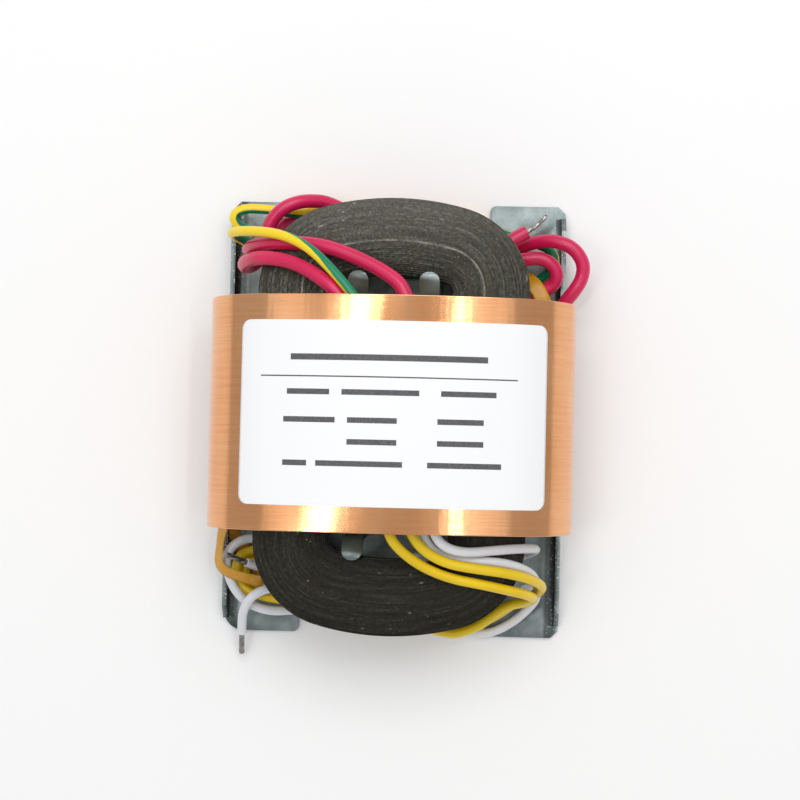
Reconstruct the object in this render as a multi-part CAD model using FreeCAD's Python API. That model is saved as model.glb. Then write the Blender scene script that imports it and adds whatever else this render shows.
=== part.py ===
"""A small r-core mains transformer with its flying leads, lying flat on its bracket.

All sizes are millimetres. X runs across the two coils, Y along the coils' axes and Z up. The origin is the
bottom centre of the transformer without its leads, on the surface that the bracket stands on.
"""

import FreeCAD, Part
import math
import os

# Wound core: a ring of steel strip with a round section
core_diameter = 13.0
leg_spacing = 33.1
window_end_room = 5.1
core_corner_radius = 8.5
core_crown_radius = 38.5
core_turn_groups = 12
turn_groove_width = 0.3
turn_groove_depth = 0.22
core_end_flat_share = 0.25

# Bobbins: two half shells a leg, which snap together and were spun by their toothed flanges
bobbin_running_clearance = 0.3
bobbin_wall = 0.8
bobbin_length = 38.0
flange_thickness = 1.2
flange_tooth_count = 36
flange_tooth_depth = 0.8
flange_tooth_root_share = 0.56
flange_tooth_tip_share = 0.32
latch_width = 3.0
latch_rise = 0.5

# Windings, from the bobbin outwards
primary_build = 2.4
interlayer_tape_build = 0.25
screen_build = 0.15
screen_gap_angle = 12.0
secondary_build = 2.9
coil_wrap_build = 0.3

# Sleeve and copper band around both coils
sleeve_clearance = 0.1
sleeve_thickness = 0.4
copper_thickness = 0.3
band_overhang = 0.25
band_crown_rise = 2.05
band_lap_width = 9.0
band_lap_thickness = 0.25

# Label on the crown of the band
label_width = 50.0
label_length = 30.0
label_thickness = 0.15
label_corner_radius = 1.6

# Wrapped solder joints in the valley between the coils
joint_end_setback = 3.2
joint_length = 9.8
joint_clearance = 0.1
joint_side_reach = 10.5

# Mounting bracket: one zinc-plated sheet
sheet_thickness = 0.8
ear_overhang = 1.3
bracket_width = 59.5
band_seat_gap = 0.15
flange_height = 3.8
flange_bend_radius = 1.0
flange_end_setback = 2.2
flange_end_slope = 2.4
notch_half_width = 16.3
notch_depth = 6.9
notch_corner_radius = 1.2
notch_mouth_radius = 1.1
ear_chamfer = 1.3
ear_round = 3.6
hole_spacing_x = 49.0
hole_end_distance = 7.4
hole_diameter = 4.2

# Yoke clamps: a sheet channel at each end, welded to the bracket
clamp_half_width = 8.0
saddle_half_width = 7.0
saddle_setback = 0.15
saddle_clearance = 0.05
clamp_band_clearance = 1.05
claw_width = 3.5
claw_spacing = 12.0
claw_hook_radius = 2.9
claw_hook_rise = 0.85
claw_tip_length = 0.3
claw_tip_round = 1.6
weld_diameter = 2.2
weld_height = 0.15
weld_saddle_distance = 4.5

# Leads
mains_lead_diameter = 2.4
shield_lead_diameter = 1.7
yellow_lead_diameter = 1.7
white_lead_diameter = 1.6
conductor_diameter = 1.0
conductor_length = 4.6
arc_share = 0.45

# Amber tape ties round the looped leads
tie_width = 2.2
tie_thickness = 0.2
left_tie_slack = 0.35
right_tie_slack = 0.5

# Lead routes, from the wrapped joint to the stripped end
red_lead_a_route = [
    (-5.0, 14.9, 28.4), (-8.8, 19.9, 28.7), (-11.9, 22.3, 27.4), (-15.6, 24.5, 25.6), (-19.3, 25.6, 23.8),
    (-23.2, 26.0, 21.0), (-25.8, 25.8, 16.0), (-26.2, 25.3, 11.4), (-24.9, 26.2, 7.8), (-23.3, 29.1, 6.0),
    (-21.5, 32.3, 4.8), (-19.6, 34.7, 3.6), (-17.0, 34.7, 2.5), (-9.0, 33.2, 2.2), (-1.0, 33.0, 2.0),
    (7.0, 32.6, 2.4), (12.6, 31.6, 3.8), (17.3, 28.8, 6.4), (19.6, 28.0, 6.8), (22.4, 28.1, 7.4),
    (25.0, 28.5, 7.6), (27.3, 27.4, 7.4), (28.2, 25.5, 6.8), (27.5, 23.6, 5.8), (22.4, 21.4, 5.1),
    (17.8, 22.0, 5.1), (15.0, 24.8, 5.0), (15.8, 28.6, 2.6), (19.9, 29.2, 2.9), (21.7, 30.6, 4.6),
    (24.3, 31.4, 6.6), (27.5, 31.4, 8.4), (30.6, 30.3, 9.0), (32.6, 27.6, 8.6), (32.4, 24.9, 8.0),
    (31.0, 22.6, 7.8), (29.4, 20.7, 6.8), (27.5, 17.0, 4.0), (27.1, 13.0, 3.6),
]
red_lead_b_route = [
    (3.4, 15.2, 28.8), (2.6, 20.5, 28.6), (-1.7, 23.7, 27.0), (-6.4, 26.0, 25.8), (-11.1, 27.7, 24.8),
    (-15.6, 28.3, 23.6), (-20.0, 28.5, 21.2), (-23.7, 28.6, 17.4), (-25.7, 28.4, 12.8), (-25.3, 28.5, 9.4),
    (-23.7, 30.0, 8.4), (-22.7, 32.5, 8.8), (-21.6, 34.6, 9.2), (-19.9, 36.2, 9.6), (-17.5, 37.3, 9.0),
    (-15.2, 37.7, 8.0), (-12.4, 37.7, 6.8), (-7.0, 35.2, 5.0), (0.0, 35.2, 4.8), (7.0, 34.6, 5.6),
    (12.0, 33.6, 7.2), (16.2, 33.1, 8.8), (18.8, 30.5, 9.4), (20.6, 31.6, 9.4), (22.5, 32.7, 9.2),
]
yellow_green_lead_route = [
    (-2.6, 14.6, 29.8), (-6.4, 19.6, 30.0), (-9.7, 23.3, 29.2), (-13.2, 26.7, 27.6), (-16.9, 28.9, 25.6),
    (-20.7, 30.0, 23.2), (-24.6, 30.6, 20.2), (-27.8, 30.9, 16.4), (-28.5, 31.1, 12.0), (-28.0, 30.9, 8.2),
    (-26.3, 30.4, 5.0), (-23.6, 29.5, 3.0), (-20.4, 27.5, 2.2), (-10.0, 26.2, 2.6), (0.0, 25.6, 2.7),
    (10.0, 25.2, 2.6), (20.0, 24.4, 1.8), (24.1, 24.4, 2.6), (26.8, 26.1, 3.8), (28.0, 28.2, 4.2),
    (27.1, 30.3, 4.0), (24.6, 31.5, 3.0), (21.6, 32.1, 2.0), (14.0, 35.0, 1.7), (7.0, 36.0, 1.4),
    (0.0, 36.0, 1.3), (-8.0, 35.9, 1.8), (-14.5, 37.0, 3.2), (-16.8, 35.8, 4.8), (-19.9, 35.9, 5.8),
    (-23.4, 36.3, 6.2), (-27.0, 36.4, 6.4), (-28.9, 35.5, 6.6), (-29.0, 34.1, 6.4), (-27.7, 32.9, 5.6),
    (-25.6, 32.6, 4.6),
]
yellow_lead_a_route = [
    (-0.8, -15.0, 29.4), (0.4, -19.6, 29.2), (2.5, -22.2, 27.6), (5.9, -24.7, 25.8), (10.6, -26.6, 24.4),
    (15.2, -27.4, 23.4), (19.8, -28.4, 21.6), (23.5, -29.4, 18.2), (25.0, -30.4, 14.0), (23.5, -31.4, 10.6),
    (20.8, -32.0, 8.8), (18.5, -33.6, 7.4), (16.3, -35.7, 6.4), (13.5, -37.1, 5.4), (10.6, -37.9, 4.6),
    (4.0, -35.9, 3.8), (-4.0, -35.9, 3.6), (-12.0, -33.9, 4.0), (-16.2, -32.9, 4.4), (-19.6, -32.4, 4.4),
    (-23.1, -31.9, 4.4), (-25.4, -31.0, 4.4), (-26.9, -29.3, 4.4), (-27.3, -27.2, 4.4), (-26.9, -25.2, 4.2),
    (-25.4, -24.1, 3.6), (-20.0, -22.8, 3.0),
]
yellow_lead_b_route = [
    (2.0, -15.0, 28.6), (4.3, -20.1, 28.2), (7.1, -22.7, 26.8), (10.5, -24.2, 25.8), (15.1, -24.9, 25.0),
    (19.7, -25.5, 23.6), (23.8, -26.6, 20.0), (26.3, -28.1, 15.2), (25.8, -29.6, 11.0), (23.8, -30.8, 7.8),
    (21.3, -32.3, 5.8), (18.7, -34.4, 4.4), (15.1, -36.3, 3.4), (4.0, -33.6, 2.2), (-4.0, -33.4, 1.8),
    (-12.0, -31.6, 2.0), (-16.4, -31.3, 2.2), (-20.3, -31.7, 2.4), (-23.8, -30.9, 2.5), (-25.6, -29.0, 2.4),
    (-26.0, -27.1, 2.2), (-24.8, -25.5, 2.0), (-19.4, -25.4, 1.9),
]
white_lead_a_route = [
    (6.4, -15.2, 29.0), (7.8, -19.6, 28.6), (10.0, -21.6, 27.0), (13.2, -22.3, 25.4), (17.3, -21.9, 24.0),
    (21.2, -21.6, 21.8), (24.2, -21.7, 18.0), (25.2, -22.1, 13.2), (24.6, -22.8, 8.8), (22.5, -23.9, 5.2),
    (19.3, -25.4, 3.2), (10.0, -26.0, 2.7), (0.0, -25.6, 2.6), (-10.0, -25.9, 2.7), (-15.6, -26.8, 2.9),
    (-20.4, -27.6, 4.6), (-23.1, -26.8, 6.3), (-25.1, -25.9, 7.8),
]
white_lead_b_route = [
    (4.4, -15.2, 27.3), (6.2, -20.6, 26.0), (8.8, -22.9, 24.2), (13.3, -23.6, 23.5), (18.6, -23.8, 22.9),
    (22.1, -24.7, 20.4), (24.4, -26.2, 15.8), (25.2, -27.5, 10.6), (25.9, -29.4, 7.2), (25.5, -31.6, 4.8),
    (24.0, -33.5, 3.2), (22.0, -35.4, 2.4), (19.4, -37.0, 2.0), (16.2, -38.1, 1.8), (7.0, -35.8, 1.7),
    (0.0, -35.8, 1.6), (-7.0, -35.8, 1.7), (-15.1, -34.2, 2.4), (-18.0, -34.5, 3.4), (-20.6, -34.6, 4.2),
    (-23.0, -34.1, 4.8), (-25.3, -33.0, 5.4), (-27.2, -30.9, 6.0), (-28.4, -28.3, 6.4), (-28.8, -25.7, 6.6),
    (-28.2, -23.6, 6.6), (-26.5, -22.2, 6.2), (-24.5, -21.7, 5.4), (-18.4, -21.8, 4.6), (-15.0, -25.0, 4.8),
    (-15.6, -29.0, 5.8), (-18.4, -30.5, 7.2), (-20.8, -30.2, 8.0), (-22.8, -30.9, 8.4), (-24.4, -32.2, 8.2),
    (-25.5, -34.3, 7.0), (-25.9, -36.4, 5.4), (-26.0, -38.5, 4.2),
]

# Where each tie crosses the leads: the two ends of its loop in the plane it lies in
left_tie_station = -27.0
left_tie_ends = [(-25.6, 2.3), (-28.6, 6.5)]
right_tie_station = 23.6
right_tie_ends = [(21.95, 5.3), (24.4, 2.8)]

# Values that follow from the ones above
core_radius = core_diameter / 2
leg_x = leg_spacing / 2
bobbin_bore = core_radius + bobbin_running_clearance
bobbin_tube_radius = bobbin_bore + bobbin_wall
primary_radius = bobbin_tube_radius + primary_build
interlayer_radius = primary_radius + interlayer_tape_build
screen_radius = interlayer_radius + screen_build
secondary_radius = screen_radius + secondary_build
coil_radius = secondary_radius + coil_wrap_build
coil_length = bobbin_length - 2 * flange_thickness
core_length = bobbin_length + 2 * (window_end_room + core_diameter)
band_length = bobbin_length + 2 * band_overhang
joint_outer_end = bobbin_length / 2 - joint_end_setback
joint_inner_end = joint_outer_end - joint_length
sleeve_radius = coil_radius + sleeve_clearance
copper_inner_radius = sleeve_radius + sleeve_thickness
band_radius = copper_inner_radius + copper_thickness
band_underside = sheet_thickness + band_seat_gap + band_lap_thickness
core_z = band_underside + band_radius
band_rise = band_radius + band_crown_rise
crown_radius = (leg_x**2 + band_rise**2 - band_radius**2) / (2 * band_crown_rise)
bracket_length = core_length + 2 * ear_overhang
notch_start = bracket_length / 2 - notch_depth
hole_spacing_y = bracket_length - 2 * hole_end_distance
clamp_base_start = band_length / 2 + clamp_band_clearance
saddle_position = core_length / 2 - core_radius - saddle_setback
claw_hook_height = core_z + claw_hook_rise
weld_offset = saddle_position - weld_saddle_distance

up = FreeCAD.Vector(0, 0, 1)
along = FreeCAD.Vector(0, 1, 0)

# How near two positions, or a slope and straight up, have to be to count as the same
same_place = 0.01
same_slope = 0.999


def vec(x, y, z):
    """A point or direction."""
    return FreeCAD.Vector(x, y, z)


def box(x_range, y_range, z_range):
    """A box between three pairs of limits."""
    size = [high - low for low, high in (x_range, y_range, z_range)]
    return Part.makeBox(*size, vec(x_range[0], y_range[0], z_range[0]))


def tube_between(inner, outer, length, x):
    """A round tube along Y, centred on the leg at x."""
    base = vec(x, -length / 2, core_z)
    return Part.makeCylinder(outer, length, base, along).cut(Part.makeCylinder(inner, length, base, along))


def mirrored(shape, across_x=False, across_y=False):
    """The shape, mirrored in the planes asked for."""
    if across_x:
        shape = shape.mirror(vec(0, 0, 0), vec(1, 0, 0))
    if across_y:
        shape = shape.mirror(vec(0, 0, 0), vec(0, 1, 0))
    return shape


def core_profile(centre, outward):
    """The core's section: a round of strip groups, each parted from the next by a fine groove."""
    group = core_diameter / core_turn_groups
    end_flat = group * core_end_flat_share
    first_half_width = math.sqrt(core_radius**2 - (core_radius - end_flat) ** 2)
    upper = [(-core_radius, first_half_width)]
    for index in range(1, core_turn_groups):
        offset = -core_radius + index * group
        height = math.sqrt(core_radius**2 - offset**2)
        slope = -offset / height
        half = turn_groove_width / 2
        upper.append((offset - half, height - slope * half))
        upper.append((offset, height - turn_groove_depth))
        upper.append((offset + half, height + slope * half))
    upper.append((core_radius, first_half_width))
    lower = [(offset, -height) for offset, height in reversed(upper)]
    points = [centre + outward * offset + up * height for offset, height in upper + lower]
    return Part.Face(Part.makePolygon(points + points[:1]))


def core():
    """The ring of strip: two straight legs, four corners and two gently crowned yokes."""
    corner_x = leg_x - core_corner_radius
    half_crown = math.degrees(math.asin(corner_x / (core_crown_radius - core_corner_radius)))
    yoke_y = core_length / 2 - core_radius
    crown_y = yoke_y - core_crown_radius
    rise = math.cos(math.radians(half_crown)) * (core_crown_radius - core_corner_radius)
    corner_y = crown_y + rise
    quarter = 90 - half_crown
    right_end = core_profile(vec(leg_x, corner_y, core_z), vec(1, 0, 0))
    corner = right_end.revolve(vec(corner_x, corner_y, 0), up, quarter)
    yoke_face = core_profile(vec(0, yoke_y, core_z), vec(0, 1, 0))
    half_yoke = yoke_face.revolve(vec(0, crown_y, 0), up, -half_crown)
    half_leg = core_profile(vec(leg_x, 0, core_z), vec(1, 0, 0)).extrude(vec(0, corner_y, 0))
    quarter_ring = half_leg.fuse(corner).fuse(half_yoke)
    half_ring = quarter_ring.fuse(mirrored(quarter_ring, across_x=True))
    return half_ring.fuse(mirrored(half_ring, across_y=True)).removeSplitter()


def toothed_disc(x, y):
    """A winding flange with short teeth all round, as thick as the flange, starting at y."""
    root = coil_radius - flange_tooth_depth
    pitch = 2 * math.pi / flange_tooth_count
    half_root = pitch * flange_tooth_root_share / 2
    half_tip = pitch * flange_tooth_tip_share / 2
    corners = (
        (-pitch / 2, root),
        (-half_root, root),
        (-half_tip, coil_radius),
        (half_tip, coil_radius),
        (half_root, root),
    )
    points = []
    for tooth in range(flange_tooth_count):
        middle = (tooth + 0.5) * pitch
        for turn, radius in corners:
            angle = middle + turn
            points.append(vec(x + radius * math.cos(angle), y, core_z + radius * math.sin(angle)))
    return Part.Face(Part.makePolygon(points + points[:1])).extrude(vec(0, flange_thickness, 0))


def bobbin(x):
    """A whole spool round one leg: tube and two toothed flanges, before it is split into halves."""
    tube = Part.makeCylinder(bobbin_tube_radius, coil_length, vec(x, -coil_length / 2, core_z), along)
    near = toothed_disc(x, -bobbin_length / 2)
    far = toothed_disc(x, bobbin_length / 2 - flange_thickness)
    bore = Part.makeCylinder(bobbin_bore, bobbin_length, vec(x, -bobbin_length / 2, core_z), along)
    return tube.fuse(near).fuse(far).cut(bore)


def latches(x):
    """The snap tongues that rise from a lower half into the upper one, in each flange and on both sides."""
    middle = (bobbin_tube_radius + coil_radius - flange_tooth_depth) / 2
    solids = []
    for side in (-1, 1):
        for end in (-1, 1):
            centre_x = x + side * middle
            centre_y = end * (bobbin_length - flange_thickness) / 2
            solids.append(
                box(
                    (centre_x - latch_width / 2, centre_x + latch_width / 2),
                    (centre_y - flange_thickness / 2, centre_y + flange_thickness / 2),
                    (core_z, core_z + latch_rise),
                )
            )
    return solids


def bobbin_halves(x):
    """The upper and lower half shells of one spool."""
    whole = bobbin(x)
    reach = coil_radius + 1
    x_range = (x - reach, x + reach)
    y_range = (-bobbin_length, bobbin_length)
    upper = whole.common(box(x_range, y_range, (core_z, core_z + reach)))
    lower = whole.common(box(x_range, y_range, (core_z - reach, core_z)))
    for tongue in latches(x):
        upper = upper.cut(tongue)
        lower = lower.fuse(tongue)
    return upper, lower.removeSplitter()


def screen(x):
    """The foil screen, left open by a gap so that it is no shorted turn."""
    whole = tube_between(interlayer_radius, screen_radius, coil_length, x)
    half_gap = math.radians(screen_gap_angle / 2)
    reach = coil_radius
    corner_height = reach * math.tan(half_gap)
    apex = vec(x, -coil_length, core_z)
    side = 1 if x > 0 else -1
    upper_point = apex + vec(side * reach, 0, corner_height)
    lower_point = apex + vec(side * reach, 0, -corner_height)
    outline = Part.makePolygon([apex, upper_point, lower_point, apex])
    wedge = Part.Face(outline).extrude(vec(0, 2 * coil_length, 0))
    return whole.cut(wedge)


def oval_face(inset, y):
    """The outline round both coils, inset from the copper's outer face: flat below and crowned on top."""
    radius = band_radius - inset
    crown = crown_radius - inset
    crown_z = core_z + band_rise - crown_radius
    toward = vec(leg_x, 0, core_z - crown_z)
    toward.normalize()

    def end_point(sign, direction):
        return vec(sign * (leg_x + direction.x * radius), y, core_z + direction.z * radius)

    lower_right = vec(leg_x, y, core_z - radius)
    lower_left = vec(-leg_x, y, core_z - radius)
    right_side = vec(leg_x + radius, y, core_z)
    left_side = vec(-leg_x - radius, y, core_z)
    upper_right = end_point(1, toward)
    upper_left = end_point(-1, toward)
    edges = [
        Part.LineSegment(lower_left, lower_right),
        Part.Arc(lower_right, right_side, upper_right),
        Part.Arc(upper_right, vec(0, y, crown_z + crown), upper_left),
        Part.Arc(upper_left, left_side, lower_left),
    ]
    return Part.Face(Part.Wire([edge.toShape() for edge in edges]))


def oval_prism(inset, length):
    """A solid of the outline, centred on the coils' middle."""
    return oval_face(inset, -length / 2).extrude(vec(0, length, 0))


def sleeve():
    """The insulating paper between the coils and the copper."""
    outer = oval_prism(copper_thickness, band_length)
    inner = oval_prism(copper_thickness + sleeve_thickness, band_length)
    return outer.cut(inner)


def copper_band():
    """The copper strap, with the soldered lap of its ends on the underside."""
    ring = oval_prism(0, band_length).cut(oval_prism(copper_thickness, band_length))
    half_lap = band_lap_width / 2
    half_band = band_length / 2
    lap_z = (core_z - band_radius - band_lap_thickness, core_z - band_radius)
    lap = box((-half_lap, half_lap), (-half_band, half_band), lap_z)
    return ring.fuse(lap).removeSplitter()


def label():
    """The sticker on the crown, bent over the copper."""
    layer = oval_prism(-label_thickness, label_length).cut(oval_prism(0, label_length))
    turn = math.asin(leg_x / (crown_radius - band_radius))
    past_crown = (label_width / 2 - crown_radius * turn) / band_radius
    half_plan = leg_x + band_radius * math.sin(turn + past_crown)
    half_length = label_length / 2
    plan = box((-half_plan, half_plan), (-half_length, half_length), (core_z, core_z + 2 * band_rise))
    plan = plan.makeFillet(label_corner_radius, upright_edges(plan))
    return layer.common(plan)


def upright_edges(shape):
    """The edges that run straight up."""
    found = []
    for edge in shape.Edges:
        if len(edge.Vertexes) == 2 and abs(edge.tangentAt(edge.FirstParameter).z) > same_slope:
            found.append(edge)
    return found


def joint_wrap(end, tubes):
    """The taped solder joints that fill the valley between the coils near one end, round their leads."""
    y_range = sorted((end * joint_inner_end, end * joint_outer_end))
    block = box((-joint_side_reach, joint_side_reach), y_range, (core_z, core_z + band_rise))
    inside = oval_prism(copper_thickness + sleeve_thickness + joint_clearance, band_length)
    packet = block.common(inside)
    for x in (-leg_x, leg_x):
        base = vec(x, -band_length / 2, core_z)
        packet = packet.cut(Part.makeCylinder(coil_radius + joint_clearance, band_length, base, along))
    for tube in tubes:
        packet = packet.cut(tube)
    return packet


def bracket_section():
    """The bracket's section across its side flanges, bent up from the sheet."""
    half = bracket_width / 2
    outer = flange_bend_radius + sheet_thickness
    inner = flange_bend_radius
    centre_z = outer
    diagonal = math.sqrt(0.5)

    def side(sign):
        centre = vec(sign * (half - outer), 0, centre_z)
        return [
            centre + vec(0, 0, -outer),
            centre + vec(sign * diagonal * outer, 0, -diagonal * outer),
            centre + vec(sign * outer, 0, 0),
            vec(sign * half, 0, flange_height),
            vec(sign * (half - sheet_thickness), 0, flange_height),
            centre + vec(sign * inner, 0, 0),
            centre + vec(sign * diagonal * inner, 0, -diagonal * inner),
            centre + vec(0, 0, -inner),
        ]

    right = side(1)
    left = side(-1)
    edges = [
        Part.LineSegment(left[0], right[0]),
        Part.Arc(right[0], right[1], right[2]),
        Part.LineSegment(right[2], right[3]),
        Part.LineSegment(right[3], right[4]),
        Part.LineSegment(right[4], right[5]),
        Part.Arc(right[5], right[6], right[7]),
        Part.LineSegment(right[7], left[7]),
        Part.Arc(left[7], left[6], left[5]),
        Part.LineSegment(left[5], left[4]),
        Part.LineSegment(left[4], left[3]),
        Part.LineSegment(left[3], left[2]),
        Part.Arc(left[2], left[1], left[0]),
    ]
    return Part.Face(Part.Wire([edge.toShape() for edge in edges]))


def bracket_plan():
    """The flat outline: four ears, a notch between each pair, three clipped corners and one rounded."""
    half_x = bracket_width / 2
    half_y = bracket_length / 2
    height = (0, sheet_thickness)
    plate = box((-half_x, half_x), (-half_y, half_y), height)
    clipped = [edge for edge in upright_edges(plate) if edge.Vertexes[0].X > 0 or edge.Vertexes[0].Y > 0]
    plate = plate.makeChamfer(ear_chamfer, clipped)
    rounded = []
    for edge in upright_edges(plate):
        place = edge.Vertexes[0]
        if place.X < same_place - half_x and place.Y < same_place - half_y:
            rounded.append(edge)
    plate = plate.makeFillet(ear_round, rounded)
    for end in (-1, 1):
        notch = box((-notch_half_width, notch_half_width), sorted((end * notch_start, end * half_y)), height)
        plate = plate.cut(notch)
    for corner_y, radius in ((notch_start, notch_corner_radius), (half_y, notch_mouth_radius)):
        corners = []
        for edge in upright_edges(plate):
            place = edge.Vertexes[0]
            if abs(abs(place.X) - notch_half_width) < same_place and abs(abs(place.Y) - corner_y) < same_place:
                corners.append(edge)
        plate = plate.makeFillet(radius, corners)
    for x in (-hole_spacing_x / 2, hole_spacing_x / 2):
        for y in (-hole_spacing_y / 2, hole_spacing_y / 2):
            plate = plate.cut(Part.makeCylinder(hole_diameter / 2, sheet_thickness, vec(x, y, 0)))
    return plate


def bracket():
    """The whole bracket: the flat ears, and along both sides a bent-up flange with sloping ends."""
    half_y = bracket_length / 2
    flanged_half = half_y - flange_end_setback
    plate = bracket_plan()
    bent = bracket_section()
    bent.translate(vec(0, -flanged_half, 0))
    channel = bent.extrude(vec(0, 2 * flanged_half, 0))
    reach = bracket_width
    side_strip = flange_bend_radius + sheet_thickness
    for end in (-1, 1):
        foot = vec(-reach, end * flanged_half, side_strip)
        top = vec(-reach, end * flanged_half, flange_height)
        back = vec(-reach, end * (flanged_half - flange_end_slope), flange_height)
        corner = Part.Face(Part.makePolygon([foot, top, back, foot])).extrude(vec(2 * reach, 0, 0))
        channel = channel.cut(corner)
    solid = plate
    for side in (-1, 1):
        edge_x = side * (bracket_width / 2 - side_strip)
        strip = box(sorted((edge_x, side * reach)), (-flanged_half, flanged_half), (0, flange_height))
        solid = solid.cut(strip).fuse(channel.common(strip))
    return solid.removeSplitter()


def claw(x):
    """One claw: up through the core's window and hooked outwards over the yoke."""
    inner_y = clamp_base_start
    outer_y = inner_y + sheet_thickness
    hook_y = outer_y + claw_hook_radius
    outer_radius = claw_hook_radius + sheet_thickness
    diagonal = math.sqrt(0.5)
    left = x - claw_width / 2

    def at(y, z):
        return vec(left, y, z)

    tip_y = hook_y + claw_tip_length
    low = claw_hook_height + claw_hook_radius
    high = claw_hook_height + outer_radius
    edges = [
        Part.LineSegment(at(inner_y, sheet_thickness), at(inner_y, claw_hook_height)),
        Part.Arc(
            at(inner_y, claw_hook_height),
            at(hook_y - diagonal * outer_radius, claw_hook_height + diagonal * outer_radius),
            at(hook_y, high),
        ),
        Part.LineSegment(at(hook_y, high), at(tip_y, high)),
        Part.LineSegment(at(tip_y, high), at(tip_y, low)),
        Part.LineSegment(at(tip_y, low), at(hook_y, low)),
        Part.Arc(
            at(hook_y, low),
            at(hook_y - diagonal * claw_hook_radius, claw_hook_height + diagonal * claw_hook_radius),
            at(outer_y, claw_hook_height),
        ),
        Part.LineSegment(at(outer_y, claw_hook_height), at(outer_y, sheet_thickness)),
        Part.LineSegment(at(outer_y, sheet_thickness), at(inner_y, sheet_thickness)),
    ]
    strip = Part.Face(Part.Wire([edge.toShape() for edge in edges])).extrude(vec(claw_width, 0, 0))
    tip_edges = [edge for edge in upright_edges(strip) if abs(edge.Vertexes[0].Y - tip_y) < same_place]
    return strip.makeFillet(claw_tip_round, tip_edges)


def yoke_clamp():
    """The channel under one yoke: welded base, saddle on its outer edge and two claws on its inner edge."""
    base_z = (sheet_thickness, 2 * sheet_thickness)
    base_y = (clamp_base_start, saddle_position + sheet_thickness / 2)
    base = box((-clamp_half_width, clamp_half_width), base_y, base_z)
    saddle_y = (saddle_position - sheet_thickness / 2, saddle_position + sheet_thickness / 2)
    saddle_top = core_z - core_radius - saddle_clearance
    saddle = box((-saddle_half_width, saddle_half_width), saddle_y, (sheet_thickness, saddle_top))
    solid = base.fuse(saddle)
    for x in (-claw_spacing / 2, claw_spacing / 2):
        solid = solid.fuse(claw(x))
    for x in (-claw_spacing / 2, claw_spacing / 2):
        weld = Part.makeCylinder(weld_diameter / 2, weld_height, vec(x, weld_offset, 2 * sheet_thickness))
        solid = solid.fuse(weld)
    return solid.removeSplitter()


def lead(route, diameter, name):
    """A lead as a tube: straight runs joined by arcs as large as the runs allow."""
    points = [vec(*point) for point in route]
    section = Part.makeCircle(diameter / 2, points[0], points[1] - points[0])
    faces = [Part.Face(Part.Wire(section))]
    start = points[0]
    radii = []
    path_length = 0.0
    for before, corner, after in zip(points, points[1:], points[2:]):
        back = before - corner
        forward = after - corner
        reach = arc_share * min(back.Length, forward.Length)
        turn = math.pi - back.getAngle(forward)
        radius = reach / math.tan(turn / 2)
        back.normalize()
        forward.normalize()
        arc_start = corner + back * reach
        toward_centre = back + forward
        toward_centre.normalize()
        centre = corner + toward_centre * (radius / math.cos(turn / 2))
        axis = forward.cross(back)
        faces.append(section.extrude(arc_start - start))
        section = section.translated(arc_start - start)
        faces.append(section.revolve(centre, axis, math.degrees(turn)))
        section = section.rotated(centre, axis, math.degrees(turn))
        path_length += (arc_start - start).Length + radius * turn
        radii.append(radius)
        start = corner + forward * reach
    last_run = points[-1] - start
    faces.append(section.extrude(last_run))
    faces.append(Part.Face(Part.Wire(section.translated(last_run))))
    path_length += last_run.Length
    shell = Part.makeShell(faces)
    shell.sewShape()
    tube = Part.makeSolid(shell)
    expected = path_length * math.pi * diameter**2 / 4
    print(
        f"{name}: length {path_length:.1f}, smallest radius {min(radii):.1f}, "
        f"largest {max(radii):.1f}, volume ratio {tube.Volume / expected:.4f}"
    )
    return tube


def conductor(route):
    """The bare tinned end that stands out of a lead."""
    end = vec(*route[-1])
    direction = end - vec(*route[-2])
    return Part.makeCylinder(conductor_diameter / 2, conductor_length, end, direction)


def tie_loop(ends, radius, place):
    """A closed loop of tape, an obround round two centres, as a ring of the tie's width."""
    first, second = [place(*end) for end in ends]
    axis = place(0, 0, 1) - place(0, 0, 0)
    span = second - first
    direction = vec(span.x, span.y, span.z)
    direction.normalize()
    sideways = direction.cross(axis)

    def outline(r):
        edges = [
            Part.LineSegment(first + sideways * r, second + sideways * r),
            Part.Arc(second + sideways * r, second + direction * r, second - sideways * r),
            Part.LineSegment(second - sideways * r, first - sideways * r),
            Part.Arc(first - sideways * r, first - direction * r, first + sideways * r),
        ]
        return Part.Face(Part.Wire([edge.toShape() for edge in edges])).extrude(axis * tie_width)

    return outline(radius + tie_thickness).cut(outline(radius))


def left_tie():
    """The tape round the yellow and white leads at the lower left."""
    def place(x, z, depth=0):
        return vec(x, left_tie_station - tie_width / 2 + depth, z)

    return tie_loop(left_tie_ends, yellow_lead_diameter / 2 + left_tie_slack, place)


def right_tie():
    """The tape round the red and the yellow-green leads at the upper right."""
    def place(y, z, depth=0):
        return vec(right_tie_station - tie_width / 2 + depth, y, z)

    return tie_loop(right_tie_ends, mains_lead_diameter / 2 + right_tie_slack, place)


def save(name, shape):
    """Write one sub-part."""
    shape.exportStep(f"parts/{name}.step")


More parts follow.
